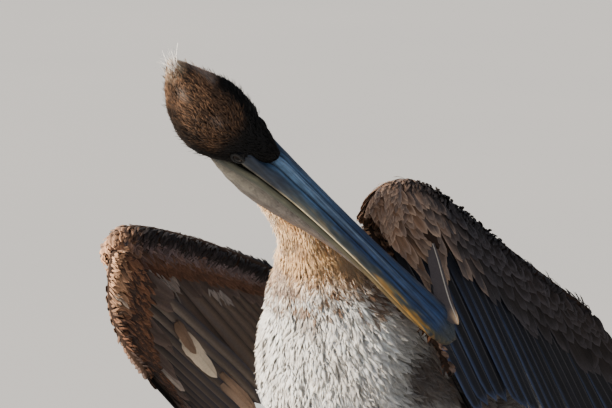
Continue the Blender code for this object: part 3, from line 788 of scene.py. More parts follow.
class Hide:
    """The skin, ready to be scattered on and looked up."""

    CROWDED = 0.75  # a root takes this share of its spacing squared
    TRIES = 3.2  # roots thrown for each that is wanted
    APART = 0.80  # the least share of its spacing between two roots

    def __init__(self, obj):
        mesh = obj.data
        self.points, self.triangles = points_of(mesh), triangles_of(mesh)
        self.normals = normals_of(mesh)
        loops = read_out(mesh.loop_triangles, "loops", 3, np.int32)
        self.uv = read_out(mesh.uv_layers["OFBake"].uv, "vector", 2)[loops]
        corners = self.points[self.triangles]
        edges = corners[:, 1:] - corners[:, :1]
        self.area = np.linalg.norm(np.cross(edges[:, 0], edges[:, 1]), axis=1) / 2
        self.middle = corners.mean(1)
        self.tree = BVHTree.FromPolygons(self.points.tolist(), self.triangles.tolist())

    def read(self, face, parts):
        point = (self.points[self.triangles[face]] * parts[..., None]).sum(1)
        normal = unit((self.normals[self.triangles[face]] * parts[..., None]).sum(1))
        uv = (self.uv[face] * parts[..., None]).sum(1)
        return point, normal, uv

    def nearest(self, points):
        """(points, normals, faces) of the skin nearest to each point."""
        found = [self.tree.find_nearest(p) for p in points.tolist()]
        return [np.array([one[k] for one in found]) for k in range(3)]

    def scatter(self, spacing, chosen, seed):
        """Evenly strewn roots on the chosen faces, about spacing[face] apart."""
        picks = np.random.default_rng(seed)
        crowd = np.where(chosen, self.area / (spacing**2 * self.CROWDED), 0.0)
        total = int(crowd.sum() * self.TRIES)
        face = picks.choice(len(crowd), size=total, p=crowd / crowd.sum())
        r1, r2 = np.sqrt(picks.random(total)), picks.random(total)
        parts = np.stack([1 - r1, r1 * (1 - r2), r1 * r2], 1)
        points = (self.points[self.triangles[face]] * parts[..., None]).sum(1)
        tree = tree_of(points)
        alive = np.ones(total, bool)
        kept = []
        reach = (spacing[face] * self.APART).tolist()
        for i, p in enumerate(points.tolist()):
            if alive[i]:
                kept.append(i)
                for _, j, _ in tree.find_range(p, reach[i]):
                    alive[j] = False
        return face[kept], parts[kept]


# ---------------------------------------------------------------- coat of the body
BILLOW = 0.30  # how strongly the down's shading rolls in soft lumps
ROOT_SUNK = 0.0006  # how far under the skin a small feather starts
BLADE_SHAPE = 0.45, 0.45  # where its tip starts to narrow, how wide its root is


def plant(batch, hide, roots, lie, length, width, depth, tone, rows=4, hug=True, root=0.62, tips=None):
    """One small feather at each root, bent along the skin; tips gives (colour, share) towards the ends; root
    is the share of its colour at its base, a painted shade.
    """
    point, normal, uv = roots
    count = len(point)
    side = unit(np.cross(normal, lie))
    a = np.linspace(0, 1, rows)
    spine = point[:, None] + lie[:, None] * (length[:, None] * a)[..., None]
    normals = np.broadcast_to(normal[:, None], spine.shape)
    if hug:
        at, way, _ = hide.nearest(point + lie * length[:, None])
        mid, _, _ = hide.nearest(point + lie * (length * 0.5)[:, None])
        t = a[None, :, None]
        spine = point[:, None] * (1 - t) * (1 - 2 * t) + mid[:, None] * 4 * t * (1 - t)
        spine = spine + at[:, None] * t * (2 * t - 1)
        normals = unit(normal[:, None] * (1 - t) + way[:, None] * t)
    if batch.soft:
        lumps = [speckle(point, 0.013, 90 + k) + 0.4 * speckle(point, 0.005, 93 + k) for k in range(3)]
        normals = unit(normals + BILLOW * np.stack(lumps, -1)[:, None])
    height = -ROOT_SUNK + depth[:, None] * a**0.8
    half = width[:, None] / 2 * profile(rows, *BLADE_SHAPE)
    run = a[None, :, None, None]
    # painted shade: each tuft darkens towards its root, under the coat that lies over it
    shades = tone[:, None, None] * (root + (1 - root) * run**0.5)
    if tips:
        colour, share = tips
        shades = mix(shades, colour, share[:, None, None, None] * smooth(0.40, 0.95, run))
    shades = np.broadcast_to(shades, (count, rows, len(BLADE), 3)).clip(0.002, 0.95)
    side = np.broadcast_to(side[:, None], spine.shape)
    batch.add(spine, side, normals, half, height, BLADE, shades, uv, length[:, None] * a, camber=0.10)


def tufts(
    batch, hide, face, parts, yaw, spread,
    lift=1.0, long=1.0, wide=1.0, tips=None, clump=0.0, strays=0.0, **look,
):
    """The body's coat: small feathers that lie the way the body's lines run, give or take `yaw`."""
    roots = hide.read(face, parts)
    point, normal, _ = roots
    count = len(point)
    sizes = coat_sizes(point)
    length = sizes[:, 1] * long * rng.uniform(0.75, 1.2, count)
    width = sizes[:, 2] * wide * rng.uniform(0.80, 1.2, count)
    lumps = speckle(point, 0.015, 78)
    depth = sizes[:, 3] * lift * rng.uniform(0.75, 1.05, count) * (1 + clump * lumps)
    depth = depth * (1 + 1.3 * (rng.random(count) < strays))
    lie = square_to(CHAIN.read(point)[1], normal)
    turn = rng.normal(0, yaw, count)[:, None] + (0.10 + 0.5 * clump) * speckle(point, 0.022, 77)[:, None]
    lie = unit(lie + np.cross(normal, lie) * turn)
    tone = plumage(point) * (1 + spread * rng.normal(size=(count, 1))).clip(0.5, 1.6)
    plant(batch, hide, roots, lie, length, width, depth, tone, tips=tips and tips(point), **look)


def head_tips(points):
    """Sunbleached ends: few on the sooty face and brow, many on the crown."""
    brightness = plumage(points).mean(1)
    crown = smooth(0.006, 0.030, brightness)
    return paint(168, 126, 92), crown * 0.85 * rng.random(len(points)) ** 2.2


WISPS, WISP_ROWS, WISP_HALF = 54, 6, 0.00042  # how many, points along each, half width


def make_wisps(batch, hide):
    """The long white filaments that stand out behind the crest."""
    count, rows = WISPS, WISP_ROWS
    x = rng.uniform(-0.144, -0.132, count)
    local = np.stack([x, rng.normal(-0.002, 0.005, count), rng.normal(-0.020, 0.004, count)], 1)
    root = hide.nearest(placed(local))[0]
    way = np.stack([-np.ones(count), rng.normal(0.0, 0.30, count), rng.normal(0.30, 0.26, count)], 1)
    way = unit(way) @ np.array(HEAD)[:3, :3].T
    bend = rng.normal(0, 0.16, (count, 3))
    length = rng.uniform(0.009, 0.022, count)
    a = np.linspace(0, 1, rows)
    run = length[:, None] * a
    spine = root[:, None] + (way[:, None] + bend[:, None] * a[None, :, None]) * run[..., None]
    across = square_to(np.broadcast_to(rng.normal(size=(count, 1, 3)), spine.shape), way[:, None])
    normal = np.cross(way[:, None], across)
    half = np.full((count, 1), WISP_HALF) * (1 - 0.8 * a)
    tone = mix(TAN, paint(244, 242, 238), smooth(0.0, 0.5, a)[None, :, None, None])
    tone = np.broadcast_to(tone, (count, rows, len(BLADE), 3))
    patch = hide.uv[hide.nearest(root)[2]].mean(1)
    batch.add(spine, across, normal, half, np.zeros((count, rows)), BLADE, tone, patch, run)


# ---------------------------------------------------------------- materials
class Nodes:
    """A material's node tree, built by short calls."""

    def __init__(self, name):
        self.material = bpy.data.materials.new(name)
        self.material.use_nodes = True
        self.tree = self.material.node_tree
        self.shader = self.tree.nodes["Principled BSDF"]
        self.place = self.node("ShaderNodeTexCoord").outputs["Object"]

    def node(self, kind, **values):
        made = self.tree.nodes.new(kind)
        for key, value in values.items():
            if key in made.inputs:
                made.inputs[key].default_value = value
            else:
                setattr(made, key, value)
        return made

    def link(self, a, b):
        self.tree.links.new(a, b)

    def put(self, socket, value):
        """A link, a number or a colour into a socket."""
        if isinstance(value, bpy.types.NodeSocket):
            self.link(value, socket)
        elif isinstance(value, (int, float)):
            socket.default_value = value
        else:
            socket.default_value = (*value, 1.0)

    def math(self, operation, *values):
        made = self.node("ShaderNodeMath", operation=operation)
        for socket, value in zip(made.inputs, values):
            self.put(socket, value)
        return made.outputs[0]

    def noise(self, scale, detail=4.0, roughness=0.55, vector=None):
        made = self.node("ShaderNodeTexNoise", Scale=scale, Detail=detail, Roughness=roughness)
        self.link(vector or self.place, made.inputs["Vector"])
        return made.outputs["Fac"]

    def ranged(self, value, low, high, to_low=0.0, to_high=1.0):
        made = self.node("ShaderNodeMapRange")
        for key, number in (("From Min", low), ("From Max", high), ("To Min", to_low), ("To Max", to_high)):
            made.inputs[key].default_value = number
        self.link(value, made.inputs["Value"])
        return made.outputs["Result"]

    def blend(self, a, b, share):
        made = self.node("ShaderNodeMix", data_type="RGBA", blend_type="MIX")
        made.clamp_result = True
        for number, value in ((0, share), (6, a), (7, b)):
            self.put(made.inputs[number], value)
        return made.outputs[2]

    def toned(self, share, colour=None):
        """A colour, or else the painted one, made darker or lighter by a share."""
        made = self.node("ShaderNodeVectorMath", operation="SCALE")
        colour = colour or self.node("ShaderNodeAttribute", attribute_name="plumage").outputs["Color"]
        self.link(colour, made.inputs[0])
        self.link(share, made.inputs["Scale"])
        return made.outputs[0]

    def bump(self, height, distance, strength=1.0, after=None):
        made = self.node("ShaderNodeBump", Distance=distance, Strength=strength)
        self.link(height, made.inputs["Height"])
        if after:
            self.link(after, made.inputs["Normal"])
        return made.outputs["Normal"]

    def finish(self, colour, roughness, normal=None, **sockets):
        self.link(colour, self.shader.inputs["Base Color"])
        self.put(self.shader.inputs["Roughness"], roughness)
        if normal:
            self.link(normal, self.shader.inputs["Normal"])
        for key, value in sockets.items():
            self.shader.inputs[key.replace("_", " ")].default_value = value
        return self.material


def feather_material(name, roughness, sheen, gloss, glow=0.0):
    """Painted vanes, with fine barbs that run out and forward from the shaft."""
    barbs = 0.0009
    m = Nodes(name)
    split = m.node("ShaderNodeSeparateXYZ")
    m.link(m.node("ShaderNodeUVMap", uv_map="vane").outputs["UV"], split.inputs[0])
    out = m.math("ABSOLUTE", split.outputs["X"])
    forward = m.math("SUBTRACT", split.outputs["Y"], out)
    barb = m.math("SINE", m.math("MULTIPLY", forward, 2 * math.pi / barbs))
    grain = m.noise(520, 5.0, 0.65)
    streak = m.math("MULTIPLY_ADD", barb, 0.06, m.ranged(grain, 0.25, 0.75, 0.82, 1.14))
    normal = m.bump(m.math("MULTIPLY_ADD", barb, 0.5, grain), 0.00025, 0.7)
    light = {"Subsurface_Weight": glow, "Subsurface_Radius": (0.005, 0.004, 0.003), "Subsurface_Scale": 1.0}
    sheens = {"Sheen_Weight": sheen, "Sheen_Roughness": 0.45, "Specular_IOR_Level": gloss}
    return m.finish(m.toned(streak), roughness, normal, **sheens, **light)


def skin_material():
    m = Nodes("coat_skin")
    grain = m.noise(350, 6.0, 0.7)
    colour = m.toned(m.ranged(grain, 0.3, 0.7, 0.70, 0.95))
    return m.finish(colour, 0.9, m.bump(grain, 0.001), Specular_IOR_Level=0.1)


def horn_material():
    """The bill: its paint is broken by fine streaks along it, scuffs and small dark flecks."""
    m = Nodes("bill_horn")
    stretched = m.node("ShaderNodeMapping", Scale=(7.0, 420.0, 1.0))
    m.link(m.node("ShaderNodeUVMap", uv_map="grain").outputs["UV"], stretched.inputs["Vector"])
    streaks = m.noise(1.0, 6.0, 0.6, stretched.outputs["Vector"])
    scuffs = m.noise(90, 6.0, 0.7)
    flecks = m.ranged(m.noise(420, 2.0, 0.5), 0.66, 0.72)
    tone = m.math("MULTIPLY", m.ranged(streaks, 0.3, 0.7, 0.62, 1.38), m.ranged(scuffs, 0.3, 0.7, 0.80, 1.20))
    colour = m.blend(m.toned(tone), paint(40, 40, 38), m.math("MULTIPLY", flecks, 0.35))
    rough = m.math("ADD", m.ranged(scuffs, 0.3, 0.7, 0.44, 0.62), m.ranged(streaks, 0.3, 0.7, -0.05, 0.06))
    normal = m.bump(streaks, 0.0006, 0.7, m.bump(scuffs, 0.0008, 0.5))
    return m.finish(colour, rough, normal, Specular_IOR_Level=0.28)


def bare_skin_material(name, scale, roughness=0.55, crease=0.0012, wax=0.0, tones=None):
    """Bare wrinkled skin: cells and creases over the paint, or over two tones on a solid without paint."""
    m = Nodes(name)
    cells = m.node("ShaderNodeTexVoronoi", Scale=scale, feature="DISTANCE_TO_EDGE")
    m.link(m.place, cells.inputs["Vector"])
    edge = m.ranged(cells.outputs["Distance"], 0.0, 0.12)
    lumps = m.noise(scale * 0.4, 5.0, 0.6)
    tone = m.math("MULTIPLY", m.ranged(edge, 0, 1, 0.72, 1.05), m.ranged(lumps, 0.3, 0.7, 0.80, 1.2))
    ground = tones and m.blend(*tones, m.ranged(m.noise(60, 4.0, 0.6), 0.35, 0.65))
    normal = m.bump(edge, crease * 0.4, 0.6, m.bump(lumps, crease, 0.6))
    sockets = {"Specular_IOR_Level": 0.4, "Coat_Weight": wax, "Coat_Roughness": 0.35}
    return m.finish(m.toned(tone, ground), roughness, normal, **sockets)


def eye_material():
    m = Nodes("eye_wet")
    colour = m.toned(m.ranged(m.noise(900, 4.0, 0.6), 0.3, 0.7, 0.75, 1.25))
    return m.finish(colour, 0.12, None, Specular_IOR_Level=0.10, Coat_Weight=0.05, Coat_Roughness=0.03)


def dress_legs():
    """The feet, shanks and claws keep their solids' shapes, in scuted blue-grey skin and dark horn."""
    greys, blacks = (paint(74, 78, 82), paint(104, 106, 104)), (paint(34, 30, 28), paint(66, 60, 54))
    scutes = bare_skin_material("leg_scutes", 420, 0.5, 0.0010, 0.1, greys)
    horn = bare_skin_material("claw_horn", 900, 0.35, 0.0003, 0.3, blacks)
    for name, node in NODES.items():
        bare_leg = name.startswith("leg_") and not name.endswith("thigh")
        if bare_leg or name.startswith("claw_"):
            node.data.materials.clear()
            node.data.materials.append(scutes if bare_leg else horn)


# ---------------------------------------------------------------- the wings
# How far the feathers reach behind the bone, from each part's root to its end.
SECONDARY_REACH = (0.185, 0.200, 0.215, 0.205)
PRIMARY_REACH = (0.205, 0.240, 0.270)
TERTIAL_REACH = (0.150, 0.150)
FLESH_BACK = {  # the same for the flesh
    "forearm": (0.045, 0.045, 0.045, 0.040, 0.018),
    "hand": (0.016, 0.028, 0.030),
    "upper_arm": (0.050, 0.050),
}
FACES = (1, 0, -1)  # a sheet's sides: outward, middle, inward


class Wing:
    """One wing's lines, as in the solids, and the faces that its feathers lie on."""

    def __init__(
        self, name, sign, upper_arm, upper_lie, forearm, forearm_lie, hand, hand_lie, outward, hand_outward
    ):
        self.name, self.sign = name, sign
        up = (0.3 * sign, 0.2, 1.0)
        self.parts = {  # line, the feathers' lie, their reach, the way outward, nose, thickness, bulge, shift
            "forearm": (Line(forearm), forearm_lie, SECONDARY_REACH, outward, 0.014, 0.024, 0.006, 0.0),
            "hand": (Line(hand), hand_lie, PRIMARY_REACH, hand_outward, 0.012, 0.018, 0.003, -0.013),
            "upper_arm": (Line(upper_arm), upper_lie, TERTIAL_REACH, up, 0.020, 0.030, 0.006, 0.0),
        }
        self.sheets = {}
        for part, (line, lies, reach, out, *shape) in self.parts.items():
            for side in FACES:
                self.sheets[part, side] = Sheet(line, lies, reach, out, side, *shape)

    def flesh(self):
        for part, (line, lies, _, out, nose, thick, bulge, shift) in self.parts.items():
            yield line, lies, out, nose, thick, shift, 0.85 * bulge, FLESH_BACK[part]


WINGS = (
    Wing(
        "left", 1,
        upper_arm=((0.055, -0.075, 0.458), (0.082, 0.010, 0.462), (0.100, 0.085, 0.452)),
        upper_lie=((-0.12, 0.92, -0.38), (-0.16, 0.92, -0.36)),
        forearm=(
            (0.152, 0.121, 0.468), (0.129, 0.083, 0.499), (0.109, 0.044, 0.531),
            (0.0925, 0.003, 0.566), (0.0795, -0.036, 0.595), (0.065, -0.060, 0.605),
            (0.0570, -0.076, 0.597), (0.0530, -0.0855, 0.579),
        ),
        forearm_lie=((0.10, 0.66, -0.74), (0.15, 0.50, -0.86), (0.25, 0.36, -0.90), (0.34, 0.31, -0.89)),
        hand=((0.054, -0.079, 0.575), (0.076, -0.062, 0.525), (0.099, -0.044, 0.475), (0.115, -0.028, 0.430)),
        hand_lie=((0.14, 0.56, -0.82), (0.14, 0.52, -0.84), (0.12, 0.48, -0.87)),
        outward=(0.95, -0.27, 0.02),
        hand_outward=(0.85, 0.30, 0.35),
    ),
    Wing(
        "right", -1,
        upper_arm=((-0.058, -0.080, 0.452), (-0.120, 0.030, 0.448), (-0.170, 0.110, 0.440)),
        upper_lie=((0.05, 0.94, -0.34), (0.20, 0.92, -0.30)),
        forearm=(
            (-0.189, 0.140, 0.4425), (-0.212, 0.086, 0.470), (-0.236, 0.030, 0.496), (-0.258, -0.026, 0.517),
            (-0.274, -0.070, 0.528), (-0.281, -0.092, 0.520), (-0.282, -0.100, 0.503),
        ),
        forearm_lie=((0.05, 0.86, -0.50), (0.12, 0.77, -0.62), (0.19, 0.68, -0.70), (0.20, 0.64, -0.74)),
        hand=(
            (-0.2745, -0.102, 0.515), (-0.2785, -0.105, 0.487), (-0.2775, -0.102, 0.450),
            (-0.2685, -0.092, 0.416), (-0.2555, -0.078, 0.386),
        ),
        hand_lie=((0.20, 0.72, -0.67), (0.22, 0.71, -0.67), (0.26, 0.66, -0.70)),
        outward=(-0.72, 0.51, 0.46),
        hand_outward=(-0.95, 0.10, -0.20),
    ),
)


def vane_colours(base, fringe, shaft=SOOT, edge=0.62, tip=0.72, amount=0.8, root_shade=0.5, under=None):
    """A colour function for lay(): dark at the root, fringed at the rim and tip, with a thin shaft."""
    base, fringe = np.atleast_2d(base), np.atleast_2d(fringe)

    def colours(a, ring, index):
        a = a[..., None]
        b = np.abs(ring[:, 0])[None, None, :, None]
        body, rim = base[index % len(base)][:, None, None], fringe[index % len(fringe)][:, None, None]
        if under is not None:
            body = np.where((ring[:, 1] < 0)[None, None, :, None], under, body)
        border = np.maximum(smooth(edge, 1.0, b) * smooth(0.20, 0.60, a), smooth(tip, 1.0, a))
        out = body * (root_shade + (1 - root_shade) * smooth(0.0, 0.45, a))
        out = mix(out, rim, border * amount)
        return mix(out, shaft, 0.55 * (b < 0.05) * (1 - 0.5 * a))

    return colours


def varied(colour, count, spread=0.14):
    return (colour * (1 + spread * rng.normal(size=(count, 1)))).clip(0.003, 0.92)


def tints(count, *tones):
    """Each tone, (red, green, blue, spread), varied from feather to feather."""
    return [varied(paint(*rgb), count, spread) for *rgb, spread in tones]


def strewn(sheet, run_from, run_to, run_step, span_step, share_from=0.0, loose=0.0):
    """Staggered roots over a band of a sheet: in rows, or the more at random the looser they are."""
    width = 1.0 - share_from
    count = max(2, int(width * sheet.bone / span_step))
    shares, runs = [], []
    for k in range(max(1, int((run_to - run_from) / run_step))):
        even = (np.arange(count) + 0.5 * (k % 2) + 0.25) / count
        shares.append(share_from + width * even + rng.normal(0, (0.12 + 0.4 * loose) / count, count))
        runs.append(run_from + (k + rng.normal(0, 0.22 + 0.5 * loose, count)) * run_step)
    return np.concatenate(shares), np.maximum(np.concatenate(runs), 0.0005)


def back_colours(share, run):
    """(base, fringe) of small feathers on a wing's outer face: warm at the wrist, sooty towards the elbow."""
    count = len(share)
    dark, grey, brown = tints(count, (40, 34, 34, 0.22), (92, 80, 76, 0.20), (132, 100, 78, 0.22))
    wrist = smooth(0.66, 0.84, share + rng.normal(0, 0.03, count))[:, None]
    lit = mix(grey, brown, np.clip(smooth(0.80, 0.95, share) + rng.normal(0, 0.25, count), 0, 1)[:, None])
    base = mix(dark, lit, wrist)
    base = mix(base, dark, (0.7 * smooth(0.016, 0.005, run) * smooth(0.90, 0.76, share))[:, None])
    tan, slate = tints(count, (196, 166, 142, 0.12), (74, 70, 74, 0.15))
    fringe = mix(slate, tan, wrist * (0.35 + 0.65 * rng.random((count, 1))))
    fringe = mix(fringe, base * 1.3, (0.75 * smooth(0.016, 0.006, run) * smooth(0.90, 0.76, share))[:, None])
    return base, fringe.clip(0, 0.9)


def under_colours(share, run):
    """(base, fringe) on a forearm's inner face: a black edge, violet grey, then rust; amber at the wrist."""
    count = len(share)
    tones = ((38, 33, 33, 0.25), (96, 84, 86, 0.22), (84, 58, 44, 0.25), (164, 126, 98, 0.20))
    black, violet, rust, amber = tints(count, *tones)
    border = run + rng.normal(0, 0.0040, count)
    base = mix(black, violet, smooth(0.012, 0.026, border)[:, None])
    base = mix(base, rust, smooth(0.030, 0.050, border)[:, None])
    wrist = smooth(0.80, 0.94, share + rng.normal(0, 0.02, count)) * smooth(0.050, 0.016, run)
    base = mix(base, amber, wrist[:, None])
    return base, (base * 1.35).clip(0, 0.85)


def palm_colours(share, run):
    """(base, fringe) on a hand's inner face: rust and soot, a rim amber at the wrist, one pale patch."""
    count = len(share)
    rust, soot, amber = tints(count, (96, 66, 48, 0.28), (56, 42, 36, 0.25), (176, 138, 108, 0.18))
    base = mix(rust, soot, (rng.random(count) < 0.45 + 0.15 * smooth(0.3, 0.9, share))[:, None])
    rim = smooth(0.024, 0.004, run + rng.normal(0, 0.003, count)) * smooth(0.62, 0.20, share)
    base = mix(base, amber, (np.clip(rim + rng.normal(0, 0.15, count), 0, 1) * (rim > 0.05))[:, None])
    white = (rng.random(count) < 0.35) & (np.hypot((share - 0.36) / 0.07, (run - 0.008) / 0.012) < 1)
    base[white] = paint(170, 154, 138)
    return base, (base * 1.4).clip(0, 0.85)


def wrist_back(share, run):
    """(base, fringe) on a hand's outer face: the forearm's at the wrist, then brown."""
    base, fringe = back_colours(1.0 - 0.15 * share, run + 0.010)
    return base, mix(fringe, base * 1.3, smooth(0.05, 0.25, share)[:, None])


def greater_under(share, run):
    """(base, fringe) of the long coverts on an inner face: grey, more of them pale towards the wrist."""
    count = len(run)
    pale, grey = tints(count, (136, 126, 120, 0.12), (84, 72, 67, 0.15))
    base = mix(grey, pale, (rng.random(count) < 0.30 * smooth(0.55, 0.8, share))[:, None])
    return base, (base * 1.35).clip(0, 0.8)


def greater_back(share, run):
    base, fringe = back_colours(share, run)
    return base * 0.75, fringe * 0.80


def hand_back(share, run):
    return greater_back(0.6 + 0 * share, run)


ARM_LOOKS = {  # part and side: colours, length, width, slant towards the wing's tip, reach behind the edge
    ("forearm", 1): (back_colours, 0.0115, 0.0036, 0.45, 0.026),
    ("forearm", -1): (under_colours, 0.0130, 0.0024, 0.30, 0.048),
    ("hand", 1): (wrist_back, 0.0115, 0.0036, 0.45, 0.026),
    ("hand", -1): (palm_colours, 0.0115, 0.0023, 0.55, 0.048),
}
FLUFF_SPACING = 0.0023  # between the small feathers' roots on the arms
FLUFF_STAND = {"left": 0.0054, "right": 0.0040}  # how far their tips stand off the skin


class ArmPlaces:
    """Tells on which face of a wing, and where on it, a point of the arms' skin lies."""

    DEEP = 26  # how many of a sheet's spans back from its leading edge can be an arm's

    def __init__(self, wing):
        self.keys = list(wing.sheets)
        owner, shares, runs, points = [], [], [], []
        for number, (part, side) in enumerate(self.keys):
            if not side:
                continue
            sheet = wing.sheets[part, side]
            ends = np.linspace(0, 1, sheet.SHARES), np.linspace(0, 1, sheet.SPANS)[: self.DEEP]
            share, run = np.meshgrid(*ends, indexing="ij")
            points.append(sheet.grid[:, : self.DEEP].reshape(-1, 3))
            shares.append(share.ravel())
            runs.append((run * sheet.reach[:, None]).ravel())
            owner.append(np.full(share.size, number))
        self.owner, self.share, self.run = (np.concatenate(one) for one in (owner, shares, runs))
        self.tree = tree_of(np.concatenate(points))

    def read(self, points):
        """(number of the face's key, share, run) for each point."""
        i = np.array([self.tree.find(p)[1] for p in points.tolist()])
        return self.owner[i], self.share[i], self.run[i]


WRIST_FEATHERS, WRIST_FROM = 110, 0.86  # how many on each face, from which share of the forearm


def dress_wrist(wing, coverts, bake):
    """Small feathers at the wrist that hang over the start of the hand, on both faces."""
    # The left wing's are rooted on past the wrist and hang further; share of the forearm, share of the slant.
    last, fall = (1.04, 1) if wing.sign > 0 else (0.95, 0.3)
    for side, colours in ((1, back_colours), (-1, under_colours)):
        sheet = wing.sheets["forearm", side]
        count = WRIST_FEATHERS
        share, run = rng.uniform(WRIST_FROM, last, count), rng.uniform(0.0005, 0.040, count)
        base, fringe = colours(share, np.minimum(run, 0.02))
        length, width = rng.uniform(0.005, 0.010, count), rng.uniform(0.0050, 0.0070, count)
        ink = vane_colours(base, fringe, tip=0.60, amount=0.7)
        splay = rng.uniform(0.014, 0.024, count) * fall / sheet.bone
        roll = rng.normal(0, 0.2, count)
        look = {"depth": (-0.0030, 0.0016), "camber": 0.22, "rows": 6, "blunt": 0.50}
        lay(coverts, sheet, share, run, length, width, ink, bake, splay=splay, roll=roll, **look)


def dress_arm(wing, batch, hide, arms):
    """Marginal feathers strewn on the forearm's and the hand's flesh, over the edge and round the wrist."""
    places = ArmPlaces(wing)
    mine = arms & (np.sign(hide.middle[:, 0] - OFFSET[0]) == wing.sign)
    whole = hide.read(*hide.scatter(np.full(len(mine), FLUFF_SPACING), mine, 21))
    owner, share, run = places.read(whole[0])
    for number, key in enumerate(places.keys):
        if key not in ARM_LOOKS:
            continue
        colours, size, wide, slant, reach = ARM_LOOKS[key]
        own = (owner == number) & (run < reach)
        roots = tuple(part[own] for part in whole)
        at, back = share[own], run[own]
        count = len(at)
        _, along, across, _ = wing.sheets[key].frame_at(at, back)
        turn = slant + rng.normal(0, 0.30, (count, 1)) + 0.35 * speckle(roots[0], 0.016, 61)[:, None]
        lie = along + across * turn
        base, fringe = colours(at, back + rng.normal(0, 0.001, count))
        depth = FLUFF_STAND[wing.name] * (1 + 0.35 * speckle(roots[0], 0.012, 62))
        depth = depth * rng.uniform(0.7, 1.1, count) * np.interp(back, (0.010, 0.024), (1.0, 0.75))
        length, width = size * rng.uniform(0.75, 1.25, count), wide * rng.uniform(0.75, 1.2, count)
        tips = (fringe[:, None, None], 0.8 * rng.random(count) ** 1.5)
        plant(batch, hide, roots, square_to(lie, roots[1]), length, width, depth, base, root=0.72, tips=tips)


def lay_rows(coverts, sheet, bake, rows):
    """Rows of coverts: colours, depths, and roots' run at the elbow and the wrist, length, width, spacing."""
    for colours, depth, (elbow, wrist, size, wide, step) in rows:
        count = int(sheet.bone / step)
        share = (np.arange(count) + rng.uniform(0.25, 0.75, count)) / count
        run = mix(elbow, wrist, share) + rng.normal(0, 0.0012, count)
        base, fringe = colours(share, run)
        length, width = size * rng.uniform(0.84, 1.12, count), wide * rng.uniform(0.85, 1.1, count)
        ink = vane_colours(base, fringe, tip=0.66, amount=0.80, root_shade=0.30)
        splay, roll = rng.normal(0, 0.30, count) * size / sheet.bone * 0.5, rng.normal(0.06, 0.12, count)
        look = {"camber": 0.20, "rows": 9, "blunt": 0.62, "root": 0.45}
        lay(coverts, sheet, share, run, length, width, ink, bake, depth, splay, roll, **look)


def lay_small(coverts, sheet, bake, colours, rise, band, steps, size, share_from=0.0, loose=0.0, **shape):
    """A band of small feathers strewn between two runs; size is (length, width)."""
    share, run = strewn(sheet, *band, *steps, share_from, loose)
    count = len(share)
    base, fringe = colours(share, run)
    length, width = size[0] * rng.uniform(0.75, 1.25, count), size[1] * rng.uniform(0.8, 1.15, count)
    ink = vane_colours(base, fringe, tip=0.62, amount=0.8, root_shade=0.35)
    splay, roll = rng.normal(0, 0.30, count) * size[0] / sheet.bone, rng.normal(0, 0.2, count)
    look = {"camber": 0.22, "rows": 6, "blunt": 0.50} | shape
    lay(coverts, sheet, share, run, length, width, ink, bake, (-0.0024, rise), splay, roll, **look)


COVERT_ROWS = {  # part and side: its rows of coverts, for lay_rows
    ("forearm", 1): (
        (greater_back, (-0.0050, -0.0008), (0.072, 0.048, 0.066, 0.0105, 0.0085)),
        (greater_back, (-0.0045, -0.0002), (0.054, 0.044, 0.044, 0.0094, 0.0080)),
        (back_colours, (-0.0040, 0.0004), (0.040, 0.038, 0.034, 0.0082, 0.0074)),
        (back_colours, (-0.0040, 0.0004), (0.030, 0.029, 0.029, 0.0080, 0.0070)),
    ),
    ("forearm", -1): ((greater_under, (-0.0030, -0.0008), (0.062, 0.064, 0.052, 0.0110, 0.0110)),),
    ("hand", 1): ((hand_back, (-0.0040, -0.0010), (0.030, 0.026, 0.066, 0.0120, 0.0100)),),
    ("hand", -1): ((greater_under, (-0.0030, -0.0008), (0.046, 0.048, 0.060, 0.0110, 0.0105)),),
}
LOOSE = {"loose": 0.5, "rows": 7}
FUR = {"section": BLADE, "rows": 5, "camber": 0.08, "blunt": 0.35, "loose": 1.0}
SMALL_BANDS = {  # part and side: colours, tips' rise, runs from and to, steps back and along, size, look
    ("forearm", 1): (back_colours, 0.0016, (0.015, 0.030), (0.0064, 0.0066), (0.0215, 0.0070), LOOSE),
    ("forearm", -1): (under_colours, 0.0004, (0.038, 0.076), (0.0040, 0.0036), (0.0200, 0.0042), FUR),
    ("hand", 1): (
        wrist_back, 0.0004, (0.006, 0.034), (0.0056, 0.0058), (0.0190, 0.0072), LOOSE | {"share_from": -0.08},
    ),
    ("hand", -1): (palm_colours, 0.0004, (0.018, 0.060), (0.0038, 0.0034), (0.0165, 0.0042), FUR),
}


def fan(quills, sheet, bake, count, start, width, tones, ink, uneven=0.0, more=None, fanned=0.0, **look):
    """Long quills side by side right across a sheet, rooted `start` behind its edge.

    tones are those of base and rim, ink goes to vane_colours, uneven is how far the tips fall short at
    random, more is (length, from, to) added between two shares, and fanned how far the quills splay.
    """
    share = (np.arange(count) + 0.5) / count
    length = read_along(sheet.reach, share) - start
    if uneven:
        length = length - rng.uniform(0, uneven, count)
    if more:
        length = length + more[0] * smooth(more[1], more[2], share)
    colours = vane_colours(*tints(count, *tones), **ink)
    splay = rng.normal(0, fanned, count) if fanned else 0.0
    lay(quills, sheet, share, start, length, width, colours, bake, (0.0, 0.0), splay, section=QUILL, **look)


def even_rows(coverts, sheet, bake, tones, rows, jitter, **look):
    """Even rows of coverts: roots' run, length, width and count of each; tones(count) is (base, fringe)."""
    for near, size, wide, count in rows:
        share = (np.arange(count) + rng.uniform(0.3, 0.7, count)) / count
        base, fringe = tones(count)
        run = near + rng.normal(0, jitter, count)
        length = size * rng.uniform(0.9, 1.1, count)
        lay(coverts, sheet, share, run, length, wide, vane_colours(base, fringe), bake, rows=8, **look)


